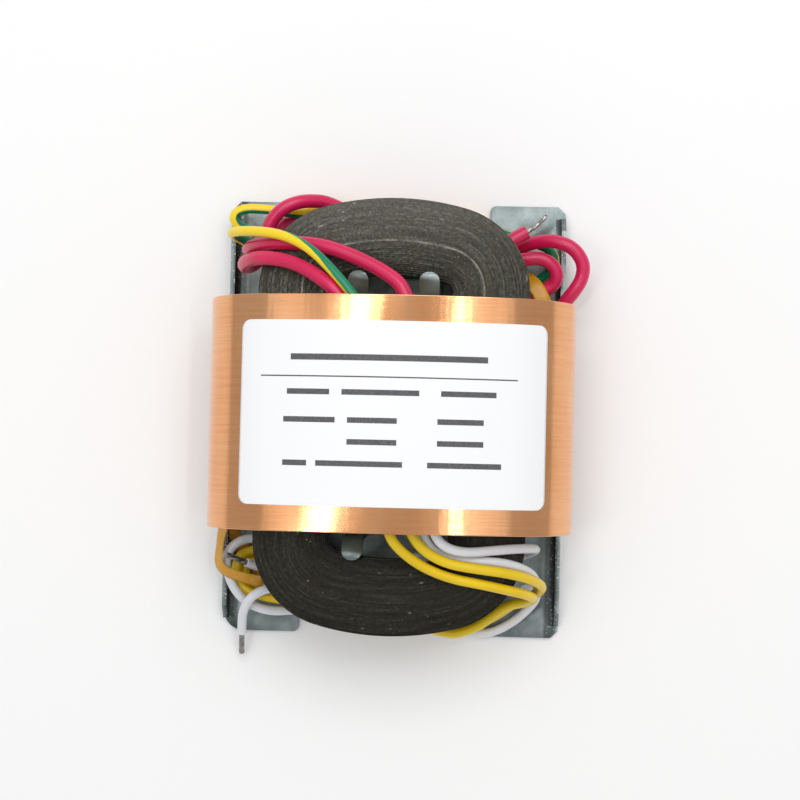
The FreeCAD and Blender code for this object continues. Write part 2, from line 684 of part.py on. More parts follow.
def main():
    os.makedirs("parts", exist_ok=True)
    save("core", core())
    for side, x in (("left", -leg_x), ("right", leg_x)):
        upper, lower = bobbin_halves(x)
        save(f"{side}_bobbin_upper_half", upper)
        save(f"{side}_bobbin_lower_half", lower)
        save(f"{side}_primary_winding", tube_between(bobbin_tube_radius, primary_radius, coil_length, x))
        save(f"{side}_interlayer_tape", tube_between(primary_radius, interlayer_radius, coil_length, x))
        save(f"{side}_screen_foil", screen(x))
        save(f"{side}_secondary_winding", tube_between(screen_radius, secondary_radius, coil_length, x))
        save(f"{side}_coil_wrap", tube_between(secondary_radius, coil_radius, coil_length, x))
    save("insulation_sleeve", sleeve())
    save("copper_band", copper_band())
    save("label", label())
    save("mounting_bracket", bracket())
    clamp = yoke_clamp()
    save("primary_end_yoke_clamp", clamp)
    save("secondary_end_yoke_clamp", mirrored(clamp, across_y=True))
    mains_leads = {
        "red_lead_a": (red_lead_a_route, mains_lead_diameter),
        "red_lead_b": (red_lead_b_route, mains_lead_diameter),
        "yellow_green_lead": (yellow_green_lead_route, shield_lead_diameter),
    }
    output_leads = {
        "yellow_lead_a": (yellow_lead_a_route, yellow_lead_diameter),
        "yellow_lead_b": (yellow_lead_b_route, yellow_lead_diameter),
        "white_lead_a": (white_lead_a_route, white_lead_diameter),
        "white_lead_b": (white_lead_b_route, white_lead_diameter),
    }
    joints = (("primary_joint_wrap", 1, mains_leads), ("secondary_joint_wrap", -1, output_leads))
    for wrap_name, end, leads in joints:
        tubes = []
        for name, (route, diameter) in leads.items():
            tubes.append(lead(route, diameter, name))
            save(name, tubes[-1])
            save(f"{name}_conductor", conductor(route))
        save(wrap_name, joint_wrap(end, tubes))
    save("left_lead_tie", left_tie())
    save("right_lead_tie", right_tie())


main()
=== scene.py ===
"""Looks of a small r-core mains transformer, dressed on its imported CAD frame.

Every piece is worked out in metres in the frame of the CAD model: X across the two coils, Y along the
coils' axes and Z up from the surface that the bracket stands on.
"""

import logging
import math
from abc import ABC, abstractmethod
from dataclasses import dataclass
from enum import Enum

import bmesh
import bpy
import numpy as np
from mathutils import Matrix, Vector


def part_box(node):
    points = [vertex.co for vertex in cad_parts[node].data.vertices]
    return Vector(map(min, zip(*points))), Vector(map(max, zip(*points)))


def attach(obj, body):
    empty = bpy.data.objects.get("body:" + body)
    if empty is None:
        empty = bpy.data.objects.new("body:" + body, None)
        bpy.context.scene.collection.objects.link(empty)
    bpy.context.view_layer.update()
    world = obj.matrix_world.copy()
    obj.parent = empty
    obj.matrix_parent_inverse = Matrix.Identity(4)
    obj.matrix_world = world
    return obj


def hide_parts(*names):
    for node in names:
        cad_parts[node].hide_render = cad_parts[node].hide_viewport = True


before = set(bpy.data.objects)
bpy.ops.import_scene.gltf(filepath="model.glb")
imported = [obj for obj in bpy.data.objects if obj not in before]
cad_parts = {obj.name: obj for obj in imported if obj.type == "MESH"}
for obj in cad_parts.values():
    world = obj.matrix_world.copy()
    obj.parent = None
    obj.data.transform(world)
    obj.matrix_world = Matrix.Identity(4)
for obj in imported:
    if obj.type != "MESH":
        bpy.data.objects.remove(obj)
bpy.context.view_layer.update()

log = logging.getLogger("transformer")

MM = 0.001
ROOT = "root"

# Millimetres along, or turns of strip across, in one unit of a piece's map
MAP_UNIT = 100
# Scales metres so that the whole object lies within half a unit of its middle
STATION_SCALE = 10.0
MERGE_DISTANCE = 0.002 * MM
FLAT_ANGLE = math.radians(0.5)
EDGE_ANGLE = math.radians(35)
TUBE_SIDES = 24

Triple = tuple[float, float, float]
Colour = Triple
Route = list[Triple]
Piece = bpy.types.Object
Material = bpy.types.Material
Socket = bpy.types.NodeSocket


def srgb(red: int, green: int, blue: int) -> Colour:
    """Turn a colour of 0 to 255 a channel, as a screen shows it, into linear light.

    Args:
        red: Red channel.
        green: Green channel.
        blue: Blue channel.

    Returns:
        The linear colour. A channel c becomes ((c + 0.055) / 1.055) to the power 2.4, or c / 12.92 near black.
    """
    screen = np.array([red, green, blue]) / 255
    linear = np.where(screen > 0.04045, ((screen + 0.055) / 1.055) ** 2.4, screen / 12.92)
    return tuple(float(channel) for channel in linear)


def smooth_noise(x: np.ndarray, seed: int, waves: int = 6, lowest: float = 1.0) -> np.ndarray:
    """A smooth random line: a sum of sines whose frequencies rise and whose heights fall.

    Args:
        x: Where to read the line, in its own units.
        seed: Picks the line.
        waves: How many sines are added.
        lowest: Cycles in each unit of x of the slowest sine.

    Returns:
        The heights, about -1 to 1: the sum of sin(2 pi f x + phase) / n over n, divided by the sum of 1 / n.
    """
    random = np.random.default_rng(seed)
    order = np.arange(1, waves + 1)
    frequency = lowest * (order + random.uniform(-0.3, 0.3, waves))
    phase = random.uniform(0, 2 * math.pi, waves)
    angle = 2 * math.pi * np.multiply.outer(x, frequency) + phase
    return (np.sin(angle) / order).sum(axis=-1) / (1 / order).sum()


def share_map(rows: int, columns: int) -> np.ndarray:
    """Texture places that are shares of the way along a grid.

    Args:
        rows: How many steps the grid has along its first direction.
        columns: How many steps it has along its second.

    Returns:
        The places, of shape (rows + 1, columns + 1, 2).
    """
    shares = np.meshgrid(np.arange(rows + 1) / rows, np.arange(columns + 1) / columns, indexing="ij")
    return np.stack(shares, axis=-1)


def placed(name: str, data: bpy.types.ID) -> Piece:
    """Make an object at the origin from its data and link it to the scene."""
    piece = bpy.data.objects.new(name, data)
    bpy.context.scene.collection.objects.link(piece)
    return piece


class Closing(Enum):
    """How a grid of points closes on itself."""

    OPEN = "open"
    TORUS = "torus"
    CAPPED = "capped"


def surface(name: str, points: np.ndarray, uv: np.ndarray, closing: Closing, smooth: bool = True) -> Piece:
    """Make a mesh from a grid of points.

    Args:
        name: The piece's name.
        points: Points in metres, of shape (rows, columns, 3).
        uv: Texture places, of shape (rows + 1, columns + 1, 2), where a closed direction has its last line too.
        closing: CAPPED joins the last column to the first and closes each end row with a fan round its middle,
            and TORUS joins both directions.
        smooth: Whether the faces are shaded smooth.

    Returns:
        The object, at the origin. Face (i, j) has the corners (i, j), (i, j + 1), (i + 1, j + 1) and (i + 1, j).
    """
    rows, columns = points.shape[:2]
    wrap_rows = closing is Closing.TORUS
    wrap_columns = closing is not Closing.OPEN
    row_starts = np.arange(rows if wrap_rows else rows - 1)
    column_starts = np.arange(columns if wrap_columns else columns - 1)
    i, j = (lines.ravel() for lines in np.meshgrid(row_starts, column_starts, indexing="ij"))
    row_next = (i + 1) % rows
    column_next = (j + 1) % columns
    quads = np.stack(
        [i * columns + j, i * columns + column_next, row_next * columns + column_next, row_next * columns + j], axis=1
    )
    quad_uv = np.stack([uv[i, j], uv[i, j + 1], uv[i + 1, j + 1], uv[i + 1, j]], axis=1)
    vertices = points.reshape(-1, 3)
    corner = [quads.ravel()]
    corner_uv = [quad_uv.reshape(-1, 2)]
    counts = [np.full(len(quads), 4)]
    if closing is Closing.CAPPED:
        around = np.arange(columns)
        onward = (around + 1) % columns
        for end, row in ((0, 0), (1, rows - 1)):
            middle = len(vertices)
            vertices = np.vstack([vertices, points[row].mean(axis=0)])
            first = row * columns + around
            second = row * columns + onward
            fan = [second, first] if end == 0 else [first, second]
            corner.append(np.stack([*fan, np.full(columns, middle)], axis=1).ravel())
            corner_uv.append(np.repeat(uv[row, :columns], 3, axis=0))
            counts.append(np.full(columns, 3))
    corner = np.concatenate(corner)
    counts = np.concatenate(counts)
    mesh = bpy.data.meshes.new(name)
    mesh.vertices.add(len(vertices))
    mesh.vertices.foreach_set("co", vertices.astype(np.float32).ravel())
    mesh.loops.add(len(corner))
    mesh.loops.foreach_set("vertex_index", corner.astype(np.int32))
    mesh.polygons.add(len(counts))
    mesh.polygons.foreach_set("loop_start", (np.cumsum(counts) - counts).astype(np.int32))
    mesh.polygons.foreach_set("use_smooth", np.full(len(counts), smooth))
    layer = mesh.uv_layers.new(name="pattern")
    layer.data.foreach_set("uv", np.concatenate(corner_uv).astype(np.float32).ravel())
    mesh.update(calc_edges=True)
    mesh.validate()
    return placed(name, mesh)


def dress(piece: Piece, material: Material) -> Piece:
    """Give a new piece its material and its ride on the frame.

    Args:
        piece: The piece.
        material: Its material.

    Returns:
        The same piece.
    """
    piece.data.materials.append(material)
    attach(piece, ROOT)
    return piece


def finish_node(node: str, material: Material) -> None:
    """Give a CAD node that stays in view its material."""
    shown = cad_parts[node]
    shown.data.materials.clear()
    shown.data.materials.append(material)


def rounded_copy(node: str, material: Material, width: float) -> None:
    """Replace a CAD node by a copy whose sharp edges are rounded.

    The copy's doubled corners are merged and its flat faces joined first, so only real edges are rounded.

    Args:
        node: The CAD node.
        material: The copy's material.
        width: How far the rounding reaches from the edge.
    """
    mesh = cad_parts[node].data.copy()
    mesh.materials.clear()
    work = bmesh.new()
    work.from_mesh(mesh)
    bmesh.ops.remove_doubles(work, verts=work.verts, dist=MERGE_DISTANCE)
    bmesh.ops.dissolve_limit(work, angle_limit=FLAT_ANGLE, verts=work.verts, edges=work.edges)
    for face in work.faces:
        face.smooth = True
    work.to_mesh(mesh)
    work.free()
    piece = placed(node + "_metal", mesh)
    bevel = piece.modifiers.new("soft_edges", "BEVEL")
    bevel.width = width
    bevel.segments = 2
    bevel.limit_method = "ANGLE"
    bevel.angle_limit = EDGE_ANGLE
    bevel.harden_normals = True
    dress(piece, material)
    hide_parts(node)


class Sheet:
    """A material's nodes, added and joined in the order that they are used."""

    def __init__(self, name: str) -> None:
        """Start a material that holds one Principled shader."""
        self.material = bpy.data.materials.new(name)
        self.material.use_nodes = True
        self.tree = self.material.node_tree
        self.shader = self.tree.nodes["Principled BSDF"]

    def add(self, kind: str, inputs: dict | None = None, **settings: object) -> bpy.types.Node:
        """Add one node.

        Args:
            kind: The node's type without its ShaderNode prefix.
            inputs: Socket name to a value, or to an output socket that is linked to it.
            **settings: Attributes of the node.

        Returns:
            The node.
        """
        node = self.tree.nodes.new("ShaderNode" + kind)
        for key, value in settings.items():
            setattr(node, key, value)
        for key, value in (inputs or {}).items():
            self.feed(node, key, value)
        return node

    def feed(self, node: bpy.types.Node, key: str | int, value: object) -> None:
        """Set a socket to a value, or link an output to it."""
        if isinstance(value, Socket):
            self.tree.links.new(value, node.inputs[key])
        else:
            node.inputs[key].default_value = value

    def set(self, **sockets: object) -> None:
        """Set or link the shader's own sockets, whose names are written with underscores."""
        for key, value in sockets.items():
            self.feed(self.shader, key.replace("_", " ").title().replace("Ior", "IOR"), value)

    def place(self, source: str = "Object", scale: Triple = (1, 1, 1)) -> Socket:
        """The pattern's place: object coordinates or the piece's own map, scaled."""
        where = self.add("TexCoord").outputs[source]
        return self.add("Mapping", {"Vector": where, "Scale": scale}).outputs["Vector"]

    def axis(self, index: int, source: str = "Object") -> Socket:
        """One coordinate of the pattern's place."""
        return self.add("SeparateXYZ", {0: self.place(source)}).outputs[index]

    def noise(self, scale: float | Triple, detail: float, rough: float, source: str = "Object") -> Socket:
        """Cloudy noise from 0 to 1.

        Args:
            scale: Clouds in one unit of the place, the same for all axes or one for each.
            detail: Octaves of finer clouds.
            rough: How strong the finer clouds are.
            source: The place's kind.

        Returns:
            The noise.
        """
        each = scale if isinstance(scale, tuple) else (scale, scale, scale)
        values = {"Vector": self.place(source, each), "Scale": 1.0, "Detail": detail, "Roughness": rough}
        return self.add("TexNoise", values).outputs["Fac"]

    def ramp(self, amount: Socket, *stops: tuple[float, float | Colour]) -> Socket:
        """Colours or greys that follow an amount.

        Args:
            amount: The amount, 0 to 1.
            *stops: Pairs of a position and a grey or a colour.

        Returns:
            The colour.
        """
        node = self.add("ValToRGB", {"Fac": amount})
        elements = node.color_ramp.elements
        while len(elements) < len(stops):
            elements.new(0.5)
        for element, (position, value) in zip(elements, stops):
            element.position = position
            shade = (value, value, value) if isinstance(value, (int, float)) else value
            element.color = (*shade, 1)
        return node.outputs["Color"]

    def mix(self, amount: object, first: object, second: object) -> Socket:
        """Blend two colours by an amount."""
        node = self.add("Mix", data_type="RGBA")
        for index, value in ((0, amount), (6, first), (7, second)):
            if isinstance(value, tuple):
                value = (*value, 1)
            self.feed(node, index, value)
        return node.outputs[2]

    def maths(self, operation: str, first: object, second: object = 0.0) -> Socket:
        """One operation on two values."""
        return self.add("Math", {0: first, 1: second}, operation=operation).outputs[0]

    def times(self, first: object, second: object) -> Socket:
        """The product of two values."""
        return self.maths("MULTIPLY", first, second)

    def bump(self, height: Socket, depth_mm: float) -> Socket:
        """A normal from heights from 0 to 1 that stand for this depth."""
        return self.add("Bump", {"Height": height, "Distance": depth_mm * MM, "Strength": 1.0}).outputs["Normal"]


class Finish(ABC):
    """A material that is painted on a sheet of nodes."""

    name: str

    @abstractmethod
    def paint(self, sheet: Sheet) -> None:
        """Add the material's nodes to its sheet."""

    def make(self) -> Material:
        """Make the material."""
        sheet = Sheet(self.name)
        self.paint(sheet)
        return sheet.material


@dataclass(frozen=True)
class StripSteel(Finish):
    """Varnished silicon steel strip seen at its edges, with painted shade towards the near end and a painted sheen
    towards the far end.
    """

    name: str = "strip_steel"
    dark: Colour = srgb(38, 37, 32)
    middle: Colour = srgb(54, 53, 47)
    bright: Colour = srgb(80, 79, 72)
    fleck: Colour = srgb(150, 150, 142)
    varnish: Colour = srgb(66, 50, 34)
    seam: Colour = srgb(132, 130, 122)
    seam_turn: int = 17
    seam_half: float = 0.003
    seam_strength: float = 0.65
    # Colours of the painted shade at the near end and of the painted sheen at the far end
    near_end_shade: Colour = srgb(20, 19, 16)
    far_end_sheen: Colour = srgb(120, 118, 112)

    def paint(self, sheet: Sheet) -> None:
        """A tone for each strip that drifts along it, with short burrs, flecks, varnish runs and one bright seam, under
        painted shade towards the near end and a painted sheen towards the far end.

        The map's first axis is the way along the strip in units of 100 mm, and its second is the strip's number
        over 100, so one strip has one tone all the way across.
        """
        strips = sheet.noise((9, 70, 1), 2, 0.6, "UV")
        burrs = sheet.noise((150, 95, 1), 3, 0.7, "UV")
        flecks = sheet.noise((55, 260, 1), 1, 0.5, "UV")
        clouds = sheet.noise(95, 3, 0.6)
        runs = sheet.noise((22, 26, 1), 4, 0.65, "UV")
        grain = sheet.noise(3200, 3, 0.6)
        tone = sheet.ramp(sheet.mix(0.45, strips, burrs), (0.34, self.dark), (0.5, self.middle), (0.66, self.bright))
        stain_and_shade = sheet.mix(sheet.ramp(runs, (0.55, 0), (0.72, 0.6)), tone, self.varnish)
        at_seam, seam, line = self.seam_turn / MAP_UNIT, self.seam_half, self.seam_strength
        edges = ((at_seam - 2 * seam, 0), (at_seam - seam, line), (at_seam + seam, line), (at_seam + 2 * seam, 0))
        on_seam = sheet.ramp(sheet.axis(1, "UV"), *edges)
        along = sheet.times(sheet.axis(1), STATION_SCALE)
        far_end = sheet.ramp(along, (0.0, 0), (0.15, 1))
        broken = sheet.ramp(runs, (0.38, 0.25), (0.6, 1))
        shown = sheet.times(sheet.times(on_seam, far_end), broken)
        seamed = sheet.mix(shown, stain_and_shade, self.seam)
        station = sheet.maths("ADD", along, 0.5)
        # Painted shade darkens the near end and a painted sheen lightens the far end, by place along Y
        near_shaded = sheet.mix(sheet.ramp(station, (0.3, 0.55), (0.7, 0)), seamed, self.near_end_shade)
        wear_and_sheen = sheet.mix(sheet.ramp(station, (0.76, 0), (0.86, 0.2)), near_shaded, self.far_end_sheen)
        sharp = sheet.ramp(flecks, (0.7, 0), (0.78, 1))
        rare = sheet.times(sharp, sheet.ramp(clouds, (0.45, 0.1), (0.6, 0.9)))
        sheet.set(
            base_color=sheet.mix(rare, wear_and_sheen, self.fleck),
            roughness=sheet.ramp(burrs, (0.35, 0.5), (0.65, 0.3)),
            metallic=0.9,
            normal=sheet.bump(grain, 0.04),
        )


@dataclass(frozen=True)
class BrushedCopper(Finish):
    """Rolled copper strap, with the mill's fine lines along its length and a little tarnish."""

    name: str = "brushed_copper"
    clean: Colour = srgb(240, 182, 134)
    wear_and_sheen: Colour = srgb(224, 154, 102)

    def paint(self, sheet: Sheet) -> None:
        """Long fine lines round the strap, over slow clouds of tarnish."""
        scratches = sheet.noise((60, 3800, 60), 3, 0.6)
        fine = sheet.noise((300, 12000, 300), 2, 0.5)
        clouds = sheet.noise((110, 45, 110), 3, 0.5)
        dents = sheet.noise((330, 45, 330), 2, 0.55)
        both = sheet.mix(0.4, scratches, fine)
        tarnish = sheet.mix(0.45, sheet.ramp(clouds, (0.35, 0), (0.7, 1)), sheet.ramp(both, (0.4, 0), (0.6, 1)))
        dented = sheet.bump(dents, 0.035)
        lined = sheet.bump(both, 0.0045)
        sheet.feed(lined.node, "Normal", dented)
        sheet.set(
            base_color=sheet.mix(tarnish, self.clean, self.wear_and_sheen),
            metallic=1.0,
            roughness=sheet.ramp(both, (0.3, 0.11), (0.7, 0.19)),
            normal=lined,
        )


@dataclass(frozen=True)
class ZincPlate(Finish):
    """Bright zinc plating on sheet steel, with small crystals, handling marks and painted shade along the inner bends
    of the flanges.
    """

    name: str = "zinc_plate"
    light: Colour = srgb(148, 158, 159)
    dull: Colour = srgb(106, 116, 114)
    # Colour of the painted shade along the inner bends of the flanges
    bend_shade_colour: Colour = srgb(52, 57, 54)
    speck: Colour = srgb(236, 240, 240)
    bend_at_mm: float = 28.3
    bend_half_mm: float = 1.1
    unshaded_corner: Triple = (10, 10, 0)

    def paint(self, sheet: Sheet) -> None:
        """Clouded plating with fine speckle, and painted shade along the inner bends of the flanges, left off towards
        the +X +Y corner.
        """
        clouds = sheet.noise(160, 4, 0.6)
        speckle = sheet.noise(2600, 3, 0.6)
        rolled = sheet.noise((2400, 90, 2400), 2, 0.5)
        plated = sheet.mix(sheet.ramp(clouds, (0.35, 0), (0.68, 1)), self.light, self.dull)
        aside = sheet.maths("ABSOLUTE", sheet.axis(0))
        away = sheet.maths("ABSOLUTE", sheet.maths("SUBTRACT", aside, self.bend_at_mm * MM))
        in_bend = sheet.maths("DIVIDE", away, 2 * self.bend_half_mm * MM)
        towards = {0: sheet.place(), 1: self.unshaded_corner}
        corner = sheet.add("VectorMath", towards, operation="DOT_PRODUCT").outputs["Value"]
        outside = sheet.ramp(sheet.times(aside, STATION_SCALE), (0.272, 0), (0.29, 1))
        specks = sheet.times(sheet.ramp(speckle, (0.6, 0), (0.68, 1)), outside)
        # Painted shade along the inner bends of the flanges, darkest at the bend line and left off towards the +X +Y
        # corner
        bend_shade_mask = sheet.ramp(in_bend, (0.35, 0.72), (0.6, 0))
        stain_and_shade = sheet.times(bend_shade_mask, sheet.ramp(corner, (0.2, 1), (0.4, 0)))
        colour = sheet.mix(specks, sheet.mix(stain_and_shade, plated, self.bend_shade_colour), self.speck)
        sheet.set(
            base_color=colour,
            metallic=0.9,
            roughness=sheet.ramp(speckle, (0.3, 0.34), (0.72, 0.5)),
            normal=sheet.bump(sheet.mix(0.5, speckle, rolled), 0.012),
        )


@dataclass(frozen=True)
class Plastic(Finish):
    """A moulded or extruded plastic."""

    name: str
    colour: Colour
    shade: Colour
    roughness: float = 0.32
    grain_mm: float = 0.5
    depth_mm: float = 0.01
    coat: float = 0.0

    def tint(self, sheet: Sheet) -> Socket:
        """The colour, with a slow change of shade."""
        clouds = sheet.noise(120, 2, 0.5)
        return sheet.mix(sheet.ramp(clouds, (0.3, 0), (0.75, 1)), self.colour, self.shade)

    def paint(self, sheet: Sheet) -> None:
        """The tint under a fine skin that varies the roughness a little round its usual value."""
        skin = sheet.noise(1 / (self.grain_mm * MM), 3, 0.55)
        sheet.set(
            base_color=self.tint(sheet),
            roughness=sheet.ramp(skin, (0.3, self.roughness * 0.85), (0.7, self.roughness * 1.2)),
            normal=sheet.bump(skin, self.depth_mm),
            coat_weight=self.coat,
        )


@dataclass(frozen=True)
class StripedPlastic(Plastic):
    """Insulation whose shade is a stripe along it; its map runs round and along the lead."""

    roughness: float = 0.3
    stripe_share: float = 0.42
    edge_half: float = 0.008
    wander: float = 0.04

    def tint(self, sheet: Sheet) -> Socket:
        """The stripe covers a share of the way round, with a slightly uneven edge."""
        around = sheet.axis(0, "UV")
        wander = sheet.noise((3, 60, 1), 2, 0.5, "UV")
        turn = sheet.maths("FRACT", sheet.maths("ADD", around, sheet.times(wander, self.wander)))
        away = sheet.maths("ABSOLUTE", sheet.maths("SUBTRACT", turn, 0.5))
        edge = self.stripe_share / 2
        striped = sheet.ramp(away, (edge - self.edge_half, 1), (edge + self.edge_half, 0))
        return sheet.mix(striped, self.colour, self.shade)


@dataclass(frozen=True)
class TinnedStrand(Finish):
    """Twisted strands coated in solder."""

    name: str = "tinned_strand"
    colour: Colour = srgb(176, 174, 170)
    dark: Colour = srgb(104, 102, 98)

    def paint(self, sheet: Sheet) -> None:
        """Uneven solder, brighter where it is thick."""
        blots = sheet.noise(1400, 4, 0.6)
        sheet.set(
            base_color=sheet.ramp(blots, (0.3, self.dark), (0.62, self.colour)),
            metallic=1.0,
            roughness=sheet.ramp(blots, (0.3, 0.48), (0.7, 0.22)),
            normal=sheet.bump(blots, 0.03),
        )


@dataclass(frozen=True)
class FilmTape(Finish):
    """Thin film tape, wrinkled where it is pulled tight."""

    name: str
    colour: Colour
    shade: Colour
    clear: float = 0.15

    def paint(self, sheet: Sheet) -> None:
        """Fine wrinkles over a slow change of shade."""
        wrinkles = sheet.noise((900, 500, 900), 4, 0.6)
        clouds = sheet.noise(260, 2, 0.5)
        sheet.set(
            base_color=sheet.mix(clouds, self.colour, self.shade),
            roughness=sheet.ramp(wrinkles, (0.3, 0.2), (0.7, 0.42)),
            transmission_weight=self.clear,
            normal=sheet.bump(wrinkles, 0.05),
        )


@dataclass(frozen=True)
class CoatedFilm(Finish):
    """The label's white coated film."""

    name: str = "label_film"
    colour: Colour = srgb(251, 251, 252)
    shade: Colour = srgb(244, 245, 247)

    def paint(self, sheet: Sheet) -> None:
        """Nearly even white with the faint waves of its glue."""
        waves = sheet.noise((140, 60, 140), 3, 0.5)
        fibre = sheet.noise(5200, 3, 0.6)
        sheet.set(
            base_color=sheet.mix(fibre, self.colour, self.shade),
            roughness=sheet.ramp(fibre, (0.3, 0.42), (0.7, 0.52)),
            normal=sheet.bump(sheet.mix(0.8, fibre, waves), 0.02),
        )


@dataclass(frozen=True)
class PrintInk(Finish):
    """Grey-black ink of the label's rule and rows."""

    name: str = "print_ink"
    colour: Colour = srgb(78, 78, 82)
    wear_and_sheen: Colour = srgb(112, 112, 116)

    def paint(self, sheet: Sheet) -> None:
        """Ink that is a little thin in places."""
        thin = sheet.noise(3500, 3, 0.6)
        sheet.set(base_color=sheet.ramp(thin, (0.45, self.colour), (0.75, self.wear_and_sheen)), roughness=0.55)


@dataclass(frozen=True)
class CoiledWire(Finish):
    """Enamelled copper wire laid turn by turn along the coil's axis."""

    name: str = "coiled_wire"
    light: Colour = srgb(196, 112, 60)
    dark: Colour = srgb(94, 44, 22)
    pitch_mm: float = 0.45

    def paint(self, sheet: Sheet) -> None:
        """Turns that repeat along Y, with painted shade in the grooves between them."""
        turns = sheet.maths("SINE", sheet.times(sheet.axis(1), 2 * math.pi / (self.pitch_mm * MM)))
        height = sheet.maths("ADD", sheet.times(turns, 0.5), 0.5)
        sheet.set(
            # The colour follows the turns' height, so painted shade darkens the grooves between turns
            base_color=sheet.ramp(height, (0.1, self.dark), (0.5, self.light)),
            metallic=0.6,
            roughness=0.35,
            normal=sheet.bump(height, 0.15),
        )


@dataclass
class StrapPath:
    """The strap's outer outline round both coils: two side arcs, a crown above and a flat below.

    Its sizes follow the CAD node: the side arcs are half the strap's width less the legs' half spacing.
    """

    leg_x: float = 16.55 * MM
    band_low: float = 1.2 * MM

    def __post_init__(self) -> None:
        """Work out the arcs from the CAD node's box."""
        _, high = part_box("copper_band")
        self.half_length = float(high[1])
        self.radius = float(high[0]) - self.leg_x
        self.centre_z = self.band_low + self.radius
        rise = float(high[2]) - self.centre_z
        extra = rise - self.radius
        self.crown_radius = (self.leg_x**2 + rise**2 - self.radius**2) / (2 * extra)
        self.crown_z = self.centre_z + rise - self.crown_radius
        self.crown_turn = math.asin(self.leg_x / (self.crown_radius - self.radius))
        self.crown_half = self.crown_radius * self.crown_turn
        self.side_length = self.radius * (math.pi - self.crown_turn)
        self.length = 2 * (self.crown_half + self.side_length + self.leg_x)

    def at(self, s: np.ndarray, out: np.ndarray | float) -> tuple[np.ndarray, np.ndarray]:
        """Places on the outline.

        Args:
            s: Distance along the outline from the crown's middle, positive towards +X.
            out: How far outside the outline the place lies.

        Returns:
            X and Z. On an arc of radius r and centre c, X = c + (r + out) sin(angle) and Z = c + (r + out)
            cos(angle), where the angle is measured from straight up; on the flat, Z is constant.
        """
        s = (np.asarray(s, float) + self.length / 2) % self.length - self.length / 2
        side = np.sign(s) + (s == 0)
        far = np.abs(s)
        crown_angle = far / self.crown_radius
        side_angle = np.minimum(self.crown_turn + (far - self.crown_half) / self.radius, math.pi)
        crown = self.crown_radius + out
        arc = self.radius + out
        left_over = far - self.crown_half - self.side_length
        on_crown = far <= self.crown_half
        side_x = np.where(left_over <= 0, self.leg_x + arc * np.sin(side_angle), self.leg_x - left_over)
        side_z = np.where(left_over <= 0, self.centre_z + arc * np.cos(side_angle), self.centre_z - arc)
        x = np.where(on_crown, crown * np.sin(crown_angle), side_x)
        z = np.where(on_crown, self.crown_z + crown * np.cos(crown_angle), side_z)
        return side * x, z


@dataclass
class CopperStrap:
    """The copper strap, closed round both coils, without the lap that the CAD node has on its underside."""

    path: StrapPath
    finish: BrushedCopper = BrushedCopper()
    thickness: float = 0.3 * MM
    edge_radius: float = 0.1 * MM
    dent_depth: float = 0.06 * MM
    kink_seed: int = 4
    kink_waves: int = 22
    slant_seed: int = 9
    slant_waves: int = 30
    slant: float = 0.35
    around: int = 420
    across: int = 24

    def build(self) -> None:
        """Carry a thin rounded section round the outline, with shallow kinks where the strap was bent."""
        half = self.path.half_length
        s = np.linspace(0, self.path.length, self.around, endpoint=False)
        edge = self.edge_radius
        flank = np.concatenate([[-1], np.linspace(-1, 1, self.across - 2) * (1 - 0.4 * edge / half), [1]])
        quarter = np.linspace(0, math.pi / 2, 4)[1:-1]
        top_y = flank * (half - edge)
        turn_y = half - edge + edge * np.sin(quarter)
        turn_o = -edge + edge * np.cos(quarter)
        y = np.concatenate([top_y, turn_y, [half], top_y[::-1], -turn_y, [-half]])
        middle = [-self.thickness / 2]
        inside = np.full(self.across, -self.thickness)
        out = np.concatenate([np.zeros(self.across), turn_o, middle, inside, -self.thickness - turn_o, middle])
        share = s / self.path.length
        kink = smooth_noise(share, self.kink_seed, self.kink_waves)
        slanted = np.add.outer(share, self.slant * y / self.path.length)
        slant = smooth_noise(slanted, self.slant_seed, self.slant_waves)
        relief = -self.dent_depth * (1 + 0.5 * kink[:, None] + 0.5 * slant) / 2
        x, z = self.path.at(s[:, None], out[None, :] + relief)
        points = np.stack([x, np.broadcast_to(y, x.shape), z], axis=-1)
        strap = surface("copper_strap", points[:, ::-1], share_map(self.around, len(y)), Closing.TORUS)
        dress(strap, self.finish.make())
        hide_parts("copper_band")


